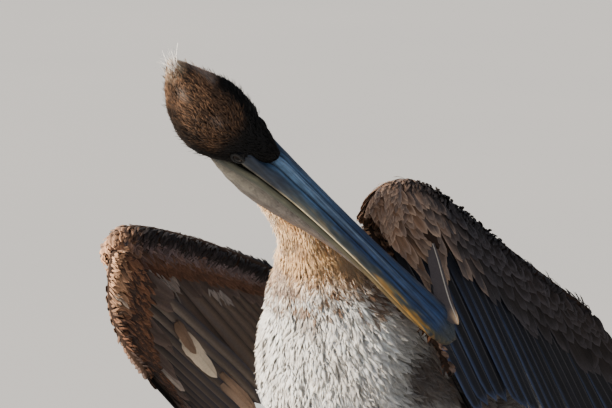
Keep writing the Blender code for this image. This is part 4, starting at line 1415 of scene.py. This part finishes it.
def dress_faces(wing, part, coverts, bake):
    """A part's coverts, on its outer face and then on its inner one."""
    for side in (1, -1):
        sheet = wing.sheets[part, side]
        lay_rows(coverts, sheet, bake, COVERT_ROWS[part, side])
        *band, look = SMALL_BANDS[part, side]
        lay_small(coverts, sheet, bake, *band, **look)


def dress_forearm(wing, coverts, quills, bake):
    # painted reflection: the quills' bluish black and the left wing's blue rims stand in for sky on glossy
    # vanes; the right wing's rims are a brown fringe
    rim = (62, 76, 108, 0.20) if wing.sign > 0 else (74, 66, 62, 0.20)
    ink = dict(shaft=paint(104, 102, 106), edge=0.72, tip=0.96, amount=0.75, under=paint(108, 94, 84))
    fan(
        quills, wing.sheets["forearm", 0], bake, count=22, start=0.030, width=0.0175,
        tones=((15, 16, 24, 0.25), rim), ink=ink,
        uneven=0.006, more=(0.026, 0.35, 0.6), fanned=0.010,
        roll=0.20, camber=0.22, rows=18, blunt=0.86, root=0.25, ragged=0.010,
    )
    dress_faces(wing, "forearm", coverts, bake)


def dress_hand(wing, coverts, quills, bake):
    ink = dict(shaft=paint(170, 160, 148), edge=0.76, tip=0.95, amount=0.55, under=paint(84, 74, 68))
    fan(
        quills, wing.sheets["hand", 0], bake, count=11, start=0.022, width=0.0195,
        tones=((28, 28, 35, 0.12), (64, 66, 78, 0.1)), ink=ink,
        uneven=0.004, more=(0.024, 0.32, 0.10) if wing.name == "right" else None,
        roll=0.14, camber=0.16, rows=18, blunt=0.72, root=0.25, ragged=0.010,
    )
    dress_faces(wing, "hand", coverts, bake)


LOOSE_FEATHERS = (  # on the raised hand's inner face: share, run, length, width, splay, colour
    (0.12, 0.112, 0.032, 0.0120, 0.10, (118, 96, 80)),
    (0.16, 0.124, 0.054, 0.0190, 0.09, (204, 190, 170)),
    (0.24, 0.190, 0.058, 0.0160, 0.02, (160, 136, 118)),
    (0.17, 0.188, 0.052, 0.0130, 0.05, (146, 122, 104)),
    (0.72, 0.062, 0.026, 0.0040, 0.03, (150, 140, 132)),
)
WHITE_DOWN = (  # on its forearm's inner face: shares from and to, runs from and to, how many
    (0.86, 0.99, 0.056, 0.100, 90),
    (0.66, 0.72, 0.096, 0.110, 18),
)


def loose_under_feathers(wing, coverts, bake):
    """The few broad pale feathers loose on the raised wing's inner face, and the white down by them."""
    look = {"camber": 0.30, "section": QUILL, "rows": 16, "blunt": 0.15, "root": 0.50, "ragged": 0.05}
    for share, run, length, width, splay, rgb in LOOSE_FEATHERS:
        tone = paint(*rgb)
        ink = vane_colours(tone, (tone * 1.2).clip(0, 0.85), tone * 0.75, edge=0.4, root_shade=0.55)
        sheet, one = wing.sheets["hand", -1], np.array([share])
        lay(coverts, sheet, one, run, length, width, ink, bake, (0.001, 0.004), splay, **look)
    for low, high, near, far, count in WHITE_DOWN:
        share, run = rng.uniform(low, high, count), rng.uniform(near, far, count)
        tone = varied(paint(136, 127, 122), count, 0.16)
        length, splay = rng.uniform(0.016, 0.028, count), rng.normal(0.02, 0.015, count)
        ink = vane_colours(tone, tone, MIST)
        look = {"depth": (-0.002, 0.0010), "splay": splay, "section": BLADE, "rows": 6}
        lay(coverts, wing.sheets["forearm", -1], share, run, length, 0.0020, ink, bake, **look)


UPPER_ARM_ROWS = (  # run, length, width, spacing
    (0.075, 0.060, 0.018, 0.013),
    (0.052, 0.050, 0.016, 0.011),
    (0.036, 0.038, 0.013, 0.009),
)


def upper_arm_tones(count):
    return varied(mix(GREY_BROWN, DARK_BROWN, 0.4), count, 0.16), varied(paint(142, 128, 116), count, 0.12)


def dress_upper_arm(wing, coverts, quills, bake):
    fan(
        quills, wing.sheets["upper_arm", 0], bake, count=9, start=0.030, width=0.0260,
        tones=((86, 76, 70, 0.12), (128, 116, 106, 0.1)), ink=dict(shaft=paint(50, 42, 38), amount=0.6),
        roll=0.08, camber=0.14, rows=14, blunt=0.78, root=0.30, ragged=0.015,
    )
    even = {"depth": (-0.0060, -0.0030), "roll": 0.08, "camber": 0.2}
    for side in (1, -1):
        sheet = wing.sheets["upper_arm", side]
        rows = [(*row, int(sheet.bone / step)) for *row, step in UPPER_ARM_ROWS]
        even_rows(coverts, sheet, bake, upper_arm_tones, rows, jitter=0.003, **even)
        share, run = strewn(sheet, 0.0005, 0.036, 0.0060, 0.0080)
        count = len(share)
        base = varied(mix(DARK_BROWN, GREY_BROWN, 0.5), count, 0.2)
        length, ink = 0.0190 * rng.uniform(0.8, 1.2, count), vane_colours(base, (base * 1.6).clip(0, 0.8))
        look = {"depth": (-0.0030, 0.0004), "roll": rng.normal(0, 0.15, count), "camber": 0.25, "rows": 6}
        lay(coverts, sheet, share, run, length, 0.0090, ink, bake, **look)


def chart(column, ahead=0.0, columns=3, longest=0.30):
    """Where a sheet's feathers go on OFBake: an unwrap of the wing's or tail's own faces, side by side."""

    def places(share, run):
        u = (column + 0.04 + 0.92 * np.clip(share, 0, 1)) * (1 / columns)
        v = 0.03 + 0.94 * np.clip((run + ahead) / longest, 0, 1)
        return np.stack(np.broadcast_arrays(u, v), -1)

    return places


# ---------------------------------------------------------------- tail
TAIL_QUILLS = 15
TAIL_COVERTS = (  # run, length, width, count
    (0.030, 0.060, 0.019, 12),
    (0.014, 0.050, 0.016, 12),
    (0.002, 0.036, 0.013, 12),
)


class TailFan(Sheet):
    """One face of the tail, read like a wing's: share across the fan, metres back from its root."""

    def __init__(self, side):
        across = 2 * np.linspace(0, 1, self.SHARES) - 1
        turn = across * TAIL_HALF_ANGLE
        root = np.array(TAIL_ROOT) + OFFSET + np.stack([across * 0.030, 0 * across, -0.004 * across**2], 1)
        reach = TAIL_LENGTH * (1 - 0.16 * across**2)
        way = np.stack([np.sin(turn), np.cos(turn) * 0.96, np.full(len(turn), -0.22)], 1)
        even = np.linspace(-0.12, 1, self.SPANS)
        grid = root[:, None] + way[:, None] * (reach[:, None] * even)[..., None]
        grid[..., 2] -= 0.012 * (across**2)[:, None] * np.maximum(even, 0)
        half = self.RIM + 0.011 * (1 - np.clip(even, 0, 1)) ** 1.8 * (1 - 0.75 * across**2)[:, None]
        grid[..., 2] += side * half
        self.grid, self.reach, self.bone = grid, reach * 1.12, 0.080
        self.face(np.array((0, 0, side if side else 1)), 0.08)


def tail_tones(colour):
    def tones(count):
        base = varied(colour, count, 0.12)
        return base, (base * 1.5).clip(0, 0.85)

    return tones


def make_tail(feather, quill):
    quills, coverts = Batch("tail_quills", quill), Batch("tail_coverts", feather)
    fan(
        quills, TailFan(0), chart(0, ahead=0.002), count=TAIL_QUILLS, start=0.018, width=0.0235,
        tones=((92, 84, 80, 0.1), (150, 142, 136, 0.08)),
        ink=dict(shaft=paint(44, 38, 36), amount=0.5, edge=0.75, tip=0.9),
        roll=0.10 * np.sign(np.arange(TAIL_QUILLS) - TAIL_QUILLS // 2),
        camber=0.10, rows=16, blunt=0.80, root=0.4, ragged=0.015,
    )
    look = {"depth": (-0.0030, -0.0006), "roll": 0.06, "camber": 0.18}
    for side, column, rgb in ((1, 1, (110, 102, 98)), (-1, 2, (176, 168, 158))):
        tones = tail_tones(paint(*rgb))
        even_rows(coverts, TailFan(side), chart(column), tones, TAIL_COVERTS, jitter=0.002, **look)
    return quills.build(), coverts.build()


# ---------------------------------------------------------------- bill and pouch
BILL_STATIONS = (  # distance from the forehead's point, half width, the ridge's height over the cutting edge
    (-0.044, 0.0215, 0.0260),
    (-0.020, 0.0205, 0.0225),
    (0.005, 0.0185, 0.0190),
    (0.040, 0.0160, 0.0150),
    (0.090, 0.0145, 0.0120),
    (0.140, 0.0145, 0.0105),
    (0.185, 0.0162, 0.0092),
    (0.220, 0.0176, 0.0082),
    (0.240, 0.0160, 0.0078),
    (0.252, 0.0115, 0.0082),
    (0.2585, 0.0065, 0.0070),
    (BILL_LENGTH, 0.0015, 0.0025),
)
BILL_ROWS = smooth_rows(BILL_STATIONS, 8)
NAIL_START, NAIL_DROP = 0.225, 0.0085  # where the nail's hook starts, how far down its tip is
BILL_START = -0.040  # the bill runs this far back under the face
LOWER_SHORT = 0.009  # how far the lower bill ends short of the nail's tip
HALF_RIM = (  # half of the upper bill's section, from the cutting edge to beside the ridge: across, up
    (1.0, 0.0), (0.985, 0.16), (0.93, 0.34), (0.82, 0.50), (0.70, 0.62), (0.55, 0.71),
    (0.42, 0.74), (0.33, 0.715), (0.285, 0.72), (0.235, 0.83), (0.17, 0.95), (0.09, 0.995),
)
PALATE = ((-0.94, 0.05), (-0.5, 0.10), (0.0, 0.12), (0.5, 0.10), (0.94, 0.05))

BLUE_GREY = paint(76, 104, 134)
STEEL = paint(34, 54, 86)
OLIVE = paint(76, 72, 50)
OLIVE_DARK = paint(50, 54, 48)
AMBER = paint(104, 76, 28)
IVORY = paint(196, 184, 152)


def bill_at(x):
    """(half width, ridge height) at distances x along the bill."""
    return np.interp(x, BILL_ROWS[:, 0], BILL_ROWS[:, 1]), np.interp(x, BILL_ROWS[:, 0], BILL_ROWS[:, 2])


def bill_sink(x):
    return NAIL_DROP * (np.maximum(0.0, x - NAIL_START) / (BILL_LENGTH - NAIL_START)) ** 2


def root_sink(x, side):
    """The ridge dives under the forehead's feathers, where the side plates still show."""
    return (0.0110 * smooth(0.004, -0.022, x))[:, None] * smooth(0.75, 0.35, np.abs(side))


def upper_bill_colour(side, high, place):
    """side is -1 to 1 across, high 0 to 1 from the cutting edge up to the ridge, place the points in full."""
    x, out = place[..., 0], np.abs(side)
    far = smooth(0.09, 0.20, x)
    # painted sunlight: more olive and amber on the near side, side below 0, where the warm light falls
    painted_sunlight = 0.35 + 0.65 * smooth(0.3, -0.3, side)
    streak = speckle(place * (0.06, 1.0, 1.0), 0.0014, 42)
    blotch = speckle(place * (0.45, 1.0, 1.0), 0.0060, 43)
    band = mix(0.90, 0.70, far)
    edge = smooth(band, band + 0.24, out + 0.26 * streak + 0.10 * blotch) * (0.45 + 0.50 * far) * painted_sunlight
    golden = smooth(0.00, 0.20, x) * smooth(0.84, 1.02, out + 0.22 * streak)
    rim = smooth(0.975, 0.999, out) * smooth(0.35, 0.0, high)
    layers = (  # colour, share
        (STEEL, smooth(0.0, 0.12, x)),
        (OLIVE_DARK, 0.80 * painted_sunlight * smooth(0.50, 0.74, out + 0.10 * blotch)),
        (mix(OLIVE, AMBER, golden[..., None]), edge),
        # painted shade in the grooves beside the ridge
        (paint(20, 26, 36), 0.85 * bell(out, 0.30, 0.045) * smooth(0.240, 0.21, x)),
        (paint(30, 36, 44), 0.45 * bell(out, 0.62, 0.03) * smooth(0.20, 0.10, x) * smooth(-0.02, 0.02, x)),
        # painted highlight: a pale blue-grey band along the ridge
        (paint(120, 136, 152), 0.50 * bell(out, 0, 0.09) * smooth(0.22, 0.10, x)),
        (mix(IVORY, AMBER, far[..., None]), 0.85 * rim),
        (paint(22, 30, 46), 0.80 * smooth(0.050, 0.012, x) * smooth(0.30, 0.60, out)),
        (paint(44, 48, 46), 0.80 * smooth(0.226, 0.246, x)),
    )
    colour = BLUE_GREY
    for tone, share in layers:
        colour = mix(colour, tone, share[..., None])
    colour = colour * (1 + 0.36 * streak + 0.14 * blotch)[..., None]
    return mix(colour, paint(120, 108, 84), 0.5 * smooth(0.254, 0.263, x)[..., None]).clip(0.003, 0.9)


def make_upper_bill(material):
    """The ridge down the middle with a groove each side, the side plates, and the hooked nail."""
    rim = [*HALF_RIM, (0.0, 1.0), *((-y, z) for y, z in reversed(HALF_RIM))]
    y, z = np.concatenate([smooth_rows(rim, 3), np.array(PALATE)]).T
    xs = np.concatenate([np.linspace(BILL_START, 0.22, 105)[:-1], np.linspace(0.22, BILL_LENGTH, 30)])
    half, high = bill_at(xs)
    half = half * (1 + 0.08 * bell(xs, 0.232, 0.006))
    up = -CULMEN_LOW - (high + bill_sink(xs))[:, None] + high[:, None] * z - root_sink(xs, y)
    points = np.stack(np.broadcast_arrays(xs[:, None], half[:, None] * y, up), -1)
    points[..., 2] += speckle(points * (0.25, 1, 1), 0.0035, 41) * 0.00012 * (z > 0.2)
    colours = upper_bill_colour(y, z, points)
    return tube_object("bill_upper_horn", placed(points), colours, material, points[..., :2])


def ramus_size(x):
    share = np.clip((x + 0.05) / 0.30, 0, 1)
    return mix(0.0032, 0.0024, share), mix(0.0066, 0.0026, share)


def ramus_point(x):
    """Centreline of the lower mandible's left bar, in the head's frame."""
    half, high = bill_at(x)
    bow = 0.0036 * bell(x, 0.020, 0.060)
    jaw = np.maximum(0.0, -x / 0.052)
    tight = 0.0022 + 0.004 * np.maximum(0.0, (x - 0.20) / 0.06)
    side = np.maximum(half - tight + bow + 0.004 * jaw, 0.0)
    down = -CULMEN_LOW - high - bill_sink(x) - ramus_size(x)[1] - 0.0008 - 0.010 * jaw
    return np.stack([x, side, down], -1)


def make_lower_bill(material):
    """Both bars of the lower mandible as one tube, which turns back at the tip."""
    steps, sides = 60, 14
    end = BILL_LENGTH - LOWER_SHORT
    xs = BILL_START + (end - BILL_START) * (1 - (1 - np.arange(steps) / steps) ** 1.35)
    path = ramus_point(xs) * (1, -1, 1)
    path = np.concatenate([path, path[::-1] * (1, -1, 1)])
    sizes = np.stack(ramus_size(xs), 1)
    sizes = np.concatenate([sizes, sizes[::-1]])
    out = unit(np.cross(unit(np.gradient(path, axis=0)), (0, 0, 1)))
    up = np.cross(out, unit(np.gradient(path, axis=0)))
    _, c, s = turns(sides)
    tall = np.abs(s) ** 0.8 * np.sign(s)
    points = path[:, None] + out[:, None] * (sizes[:, :1] * c)[..., None]
    points = points + up[:, None] * (sizes[:, 1:] * tall)[..., None]
    x = points[..., 0]
    streak = speckle(points * (0.10, 1.0, 1.0), 0.0022, 44)[..., None]
    colour = mix(paint(68, 68, 56), OLIVE_DARK, 0.7 * (1 - smooth(0.1, 0.9, s)[:, None]))
    colour = mix(colour, mix(AMBER, OLIVE, 0.5), smooth(0.07, 0.20, x)[..., None] * 0.80)
    colour = mix(colour, paint(48, 46, 42), 0.7 * smooth(-0.1, -0.8, s)[:, None])
    grain = np.stack(np.broadcast_arrays(x, s * 0.006), -1)
    return tube_object("bill_lower_horn", placed(points), colour * (1 + 0.22 * streak), material, grain)


POUCH_STATIONS = (  # distance from the forehead's point, depth of the pouch's keel below it
    (-0.040, 0.064),
    (-0.012, 0.079),
    (0.018, 0.081),
    (0.050, 0.070),
    (0.088, 0.050),
    (0.125, 0.036),
    (0.160, 0.0245),
    (0.200, 0.0190),
    (0.235, 0.0180),
)


def make_pouch(material):
    """The throat's bare skin, drawn up short between the bars in long soft folds."""
    xs, keel = smooth_rows(POUCH_STATIONS, 14).T
    bar, (_, tall) = ramus_point(xs), ramus_size(xs)
    hang = np.maximum(keel + bar[:, 2] - tall, 0.0006)
    half = np.maximum(bar[:, 1] - 0.0006 + 0.10 * hang, 0.002)
    middle = bar[:, 2] - tall - 0.35 * hang
    around, c, s = turns(72)
    depth = np.where(s > 0, (0.35 * hang + tall * 1.5)[:, None], (0.65 * hang)[:, None]) * s
    x, hang = xs[:, None], hang[:, None]
    wave = 0.5 + 0.5 * np.cos(11 * around + 2.2 * np.sin(x * 26) + 1.3 * np.sin(3 * around))
    cross = 0.5 + 0.5 * np.sin(x * 330 + 5 * c)
    fold = np.minimum(0.0016, 0.07 * hang) * wave + 0.00035 * cross * (hang > 0.01)
    shrink = 1 - fold / np.maximum(np.hypot(half[:, None] * c, depth), 0.002)
    rings = np.broadcast_arrays(x, half[:, None] * c * shrink, middle[:, None] + depth * shrink)
    low, near = smooth(0.2, -0.9, s)[:, None], smooth(0.06, -0.02, x)[..., None]
    colour = mix(paint(80, 74, 70), paint(66, 58, 60), 0.5 * low)
    colour = mix(colour, paint(94, 92, 80), near * 0.6 * (1 - 0.5 * low))
    colour = mix(colour, paint(132, 100, 80), 0.45 * low * smooth(0.0, 0.1, x)[..., None])
    # painted shade: darker in the folds' hollows, lighter on their crests
    colour = colour * (0.80 + 0.35 * (1 - wave))[..., None]
    return tube_object("pouch_folds", placed(np.stack(rings, -1)), colour, material)


PREENED_LINE = (
    (0.0880, -0.0450, 0.5660),
    (0.0920, -0.0455, 0.5560),
    (0.1000, -0.0460, 0.5380),
    (0.1090, -0.0478, 0.5180),
    (0.1175, -0.0490, 0.4990),
    (0.1255, -0.0486, 0.4830),
    (0.1275, -0.0480, 0.4770),
)
PREENED_HALF = (  # half width at shares of the line
    (0, 0.12, 0.40, 0.62, 0.78, 0.88, 0.95, 1),
    (0.0012, 0.0036, 0.0056, 0.0067, 0.0054, 0.0034, 0.0016, 0.0003),
)


def make_preened_feather(material):
    """The covert that the bill draws out: pale shaft, narrow and wide grey vanes, buff towards the tip."""
    spine = (smooth_rows(PREENED_LINE, 6) + OFFSET)[None]
    along = unit(np.gradient(spine, axis=1))
    side = square_to(np.broadcast_to(np.array((0.80, 0.60, 0.0)), spine.shape), along)
    a = np.linspace(0, 1, spine.shape[1])
    half = (np.interp(a, *PREENED_HALF) * (1 + 0.04 * np.sin(a * 57)))[None]
    b = np.array(LOPSIDED)[None, :, 0]
    colour = mix(paint(84, 76, 76), paint(56, 50, 50), smooth(0.35, 0.0, a)[:, None, None])
    buff = (smooth(0.70, 0.84, a)[:, None] * smooth(-1.2, -0.2, b))[..., None]
    colour = mix(colour, paint(214, 180, 142), 0.9 * buff)
    colour = mix(colour, paint(226, 214, 198), (np.abs(b) < 0.05)[..., None] * 0.95)[None]
    batch = Batch("preened_feather", material)
    look = {"camber": 0.03, "thick": 0.00028}
    normal, patch, run = unit(np.cross(side, along)), np.array([[0.5, 0.5]]), (a * 0.11)[None]
    batch.add(spine, side, normal, half, np.zeros_like(half), LOPSIDED, colour, patch, run, **look)
    return batch.build()


# ---------------------------------------------------------------- eyes
EYE_LOOKS = (0.18, 0.93, 0.30)  # the way the left eye faces, in the head's own frame
IRIS, IRIS_END = (0.32, 0.36), (0.60, 0.70)  # angles off the eye's axis where the pupil and the iris fade out


def eyeball(name, seat, out, ahead, up, material):
    turn, c, s = turns(40)
    fall = np.linspace(0.02, math.pi - 0.02, 40)
    size = EYE_RADIUS * 0.94 * (1 + 0.06 * bell(fall, 0, 0.45))[:, None, None]
    ring = c[None, :, None] * ahead + s[None, :, None] * up
    points = seat + size * (out * np.cos(fall)[:, None, None] + ring * np.sin(fall)[:, None, None])
    rays = 0.5 + 0.5 * np.sin(turn * 37 + 3 * np.sin(turn * 5))
    angle = fall[:, None]
    iris = mix(paint(20, 14, 11), paint(40, 28, 20), (0.6 * rays * smooth(0.36, 0.55, angle))[..., None])
    colour = mix(paint(6, 5, 5), iris, smooth(*IRIS, angle)[..., None])
    colour = mix(colour, paint(10, 8, 8), smooth(*IRIS_END, angle)[..., None])
    return tube_object(f"eyeball_{name}", points, colour, material)


def eyelid(name, seat, out, ahead, up, material):
    """A thin bare rim round the opening."""
    long, sides = 64, 12
    t = (2 * math.pi * np.arange(long + 1) / long)[:, None]
    opening = 0.66 + 0.10 * np.cos(2 * t)
    oval = np.cos(t) * ahead * 1.12 + np.sin(t) * up * 0.92
    centre = seat + EYE_RADIUS * 0.99 * (out * np.cos(opening) + oval * np.sin(opening))
    radial = unit(np.cos(t) * ahead + np.sin(t) * up)
    _, c, s = turns(sides)
    thick = (0.0007 + 0.0002 * np.sin(t * 9) ** 2)[..., None]
    lid = radial[:, None] * (c * 1.7 + 0.6)[None, :, None] + out * (s - 0.4 * c)[None, :, None]
    tone = mix(paint(13, 12, 12), paint(8, 7, 7), (0.5 + 0.5 * c)[None, :, None])
    return tube_object(f"eyelid_{name}", centre[:, None] + thick * lid, tone, material)


def make_eye(name, sign, wet, lid_skin):
    """A wet dark eye behind bare lids."""
    axes = np.array(HEAD)[:3, :3]
    seat = placed(np.array([EYE_SEAT.x, sign * (EYE_SEAT.y - EYE_SUNK), EYE_SEAT.z]))
    out = unit(axes @ (np.array(EYE_LOOKS) * (1, sign, 1)))
    ahead = square_to(axes[:, 0], out)
    frame_of_eye = (seat, out, ahead, np.cross(out, ahead))
    return eyeball(name, *frame_of_eye, wet), eyelid(name, *frame_of_eye, lid_skin)


# ---------------------------------------------------------------- stage
LAMPS = (  # name, strength, colour, the way it shines, how wide it looks in degrees
    ("key", 18.0, (1.0, 0.88, 0.74), (0.440, 0.760, -0.480), 12),
    ("rim", 2.6, (1.0, 0.90, 0.78), (0.75, 0.05, -0.66), 20),
)
SKY, SKY_STRENGTH = (0.74, 0.84, 1.0, 1.0), 0.52
VIEW_TURN, VIEW_RISE = math.radians(40), math.radians(8)  # round to the bird's left, and up
VIEW_DISTANCE, VIEW_WIDTH = 4.5, 0.5875  # from the middle of the view, and across it there
VIEW_CENTRE = (-0.080, 0.572, 0.2)  # right, up and towards the camera
SENSOR = 36.0


def make_stage():
    bpy.ops.mesh.primitive_plane_add(size=80, location=(0, 0, CAD_BOX[0][2]))
    floor = bpy.context.object
    floor.name = "floor"
    m = Nodes("pale_floor")
    colour = m.blend((0.23, 0.24, 0.25), (0.27, 0.275, 0.28), m.noise(0.6, 3.0, 0.5))
    floor.data.materials.append(m.finish(colour, 0.85, None, Specular_IOR_Level=0.2))

    world = bpy.data.worlds.new("studio")
    bpy.context.scene.world = world
    world.use_nodes = True
    background = world.node_tree.nodes["Background"]
    background.inputs["Color"].default_value = SKY
    background.inputs["Strength"].default_value = SKY_STRENGTH
    for name, energy, colour, toward, angle in LAMPS:
        light = bpy.data.lights.new(name, "SUN")
        light.energy, light.color, light.angle = energy, colour, math.radians(angle)
        new_object(name, light).rotation_euler = Vector(toward).to_track_quat("-Z", "Y").to_euler()


def make_camera():
    level = math.cos(VIEW_RISE)
    back = Vector((math.sin(VIEW_TURN) * level, -math.cos(VIEW_TURN) * level, math.sin(VIEW_RISE)))
    right = Vector((math.cos(VIEW_TURN), math.sin(VIEW_TURN), 0))
    up = back.cross(right)
    aside, high, near = VIEW_CENTRE
    place = SHIFT + right * aside + up * high + back * near + back * VIEW_DISTANCE
    data = bpy.data.cameras.new("camera")
    data.sensor_width, data.lens = SENSOR, SENSOR * VIEW_DISTANCE / VIEW_WIDTH
    data.clip_start, data.clip_end = 0.1, 120
    camera = new_object("camera", data)
    camera.matrix_world = Matrix.Translation(place) @ Matrix((right, up, back)).transposed().to_4x4()
    bpy.context.scene.camera = camera


# ---------------------------------------------------------------- the bird
EYE_CLEAR = 0.0058  # no tufts nearer than this to an eye's middle
BROW_END = -0.002  # nor ahead of here on the head
SHOWN_BEHIND, SHOWN_ABOVE = 0.10, 0.20  # the second layer of down lies only where the breast and belly show
DOWN_LEAN = 0.75  # how far the down's shading leans to the skin's
HEAD_SHADE = 0.55  # how much darker the skin is under the head's feathers
COAT_LOOKS = (  # piece, slot, material, spacing's share, seed, arguments of tufts
    (
        "coat_head", "head_feather", "feather", 1.0, 11,
        dict(yaw=0.24, hug=False, root=0.45, spread=0.22, tips=head_tips, clump=0.35, strays=0.05),
    ),
    (
        "coat_neck", "pale_feather", "down", 1.0, 12,
        dict(yaw=0.17, hug=False, root=0.88, spread=0.06, clump=0.2, strays=0.02),
    ),
    ("coat_body", "pale_feather", "down", 1.0, 13, dict(yaw=0.20, root=0.92, spread=0.04, clump=0.55)),
    (
        "coat_down", "pale_feather", "down", 0.86, 15,
        dict(yaw=0.40, root=0.92, spread=0.06, clump=0.4, long=0.66, wide=0.36, lift=1.12),
    ),
    (
        "coat_thighs", "pale_feather", "down", 1.0, 14,
        dict(rows=5, yaw=0.22, root=0.86, spread=0.08, clump=0.4),
    ),
)


def ride_all(objects):
    for obj in objects:
        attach(obj, "root")
    return objects


def dress_skin():
    """(the skin ready to scatter on, which of its triangles are the arms')."""
    skin, bare_body = make_skin()
    unwrap(skin)
    hide = Hide(skin)
    tone = plumage(hide.points)
    tone[on_arms(hide.points, bare_body)] = DARK_BROWN
    on_head = CHAIN.read(hide.points)[0][:, :1]
    paint_points(skin.data, tone * (1 - HEAD_SHADE * on_head))
    skin.data.materials.clear()
    skin.data.materials.append(skin_material())
    ride_all([skin])
    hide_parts("head", "neck_upper", "neck_lower", "trunk", "leg_left_thigh", "leg_right_thigh")
    return hide, on_arms(hide.middle, bare_body)


def dress_body(hide, arms, plumes):
    part = CHAIN.read(hide.middle)[0].argmax(1)
    spacing = coat_sizes(hide.middle)[:, 0]
    local = in_head(hide.middle)
    eyes = [np.linalg.norm(local - (EYE_SEAT.x, s * EYE_SEAT.y, EYE_SEAT.z), axis=1) for s in (1, -1)]
    bare = (np.minimum(*eyes) < EYE_CLEAR) | ((local[:, 0] > BROW_END) & (part == 0)) | arms
    shown = (hide.middle[:, 1] - OFFSET[1] < SHOWN_BEHIND) & (hide.middle[:, 2] > SHOWN_ABOVE)
    places = {
        "coat_head": part == 0,
        "coat_neck": part == 1,
        "coat_body": part == 2,
        "coat_down": (part == 2) & shown,
        "coat_thighs": part > 2,
    }
    for name, slot, plume, density, seed, look in COAT_LOOKS:
        batch = Batch(name, plumes[plume], DOWN_LEAN if plume == "down" else 0.0)
        tufts(batch, hide, *hide.scatter(spacing * density, places[name] & ~bare, seed), **look)
        if name == "coat_head":
            make_wisps(batch, hide)
        ride_all(batch.build())


def dress_wing(wing, hide, arms, plumes):
    fluff = Batch(f"wing_{wing.name}_marginal", plumes["feather"])
    dress_arm(wing, fluff, hide, arms)
    ride_all(fluff.build())
    coverts = Batch(f"wing_{wing.name}_coverts", plumes["feather"])
    quills = Batch(f"wing_{wing.name}_quills", plumes["quill"])
    dress_forearm(wing, coverts, quills, chart(0))
    dress_hand(wing, coverts, quills, chart(1))
    dress_wrist(wing, coverts, chart(0))
    dress_upper_arm(wing, coverts, quills, chart(2))
    if wing.name == "right":
        loose_under_feathers(wing, coverts, chart(1))
    vanes = ride_all(quills.build())
    small = ride_all(coverts.build())
    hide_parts(f"wing_{wing.name}_forearm", f"wing_{wing.name}_hand")
    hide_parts(f"wing_{wing.name}_upper_arm")


def dress_tail(plumes):
    quills, coverts = make_tail(plumes["feather"], plumes["quill"])
    ride_all(quills)
    ride_all(coverts)
    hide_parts("tail")


def dress_bill(plumes):
    horn = horn_material()
    upper, lower = ride_all([make_upper_bill(horn), make_lower_bill(horn)])
    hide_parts("bill_upper")
    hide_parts("bill_lower")
    pouch = ride_all([make_pouch(bare_skin_material("pouch_skin", 700, 0.5, wax=0.1))])[0]
    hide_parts("pouch")
    drawn = ride_all(make_preened_feather(plumes["quill"]))[0]
    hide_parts("wing_left_preened_feather")


def dress_eyes():
    wet, lid_skin = eye_material(), bare_skin_material("eyelid_skin", 1500, 0.75, 0.0004)
    for name, sign in (("left", 1), ("right", -1)):
        ball, rim = make_eye(name, sign, wet, lid_skin)
        ride_all([ball])
        ride_all([rim])
        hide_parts(f"eye_{name}")


def main():
    make_camera()
    make_stage()
    plumes = {
        "feather": feather_material("feather", roughness=0.66, sheen=0.05, gloss=0.18),
        "quill": feather_material("quill", roughness=0.50, sheen=0.0, gloss=0.20),
        "down": feather_material("down", roughness=0.80, sheen=0.35, gloss=0.2, glow=0.6),
    }
    hide, arms = dress_skin()
    dress_body(hide, arms, plumes)
    for wing in WINGS:
        dress_wing(wing, hide, arms, plumes)
    dress_tail(plumes)
    dress_bill(plumes)
    dress_eyes()
    dress_legs()


main()
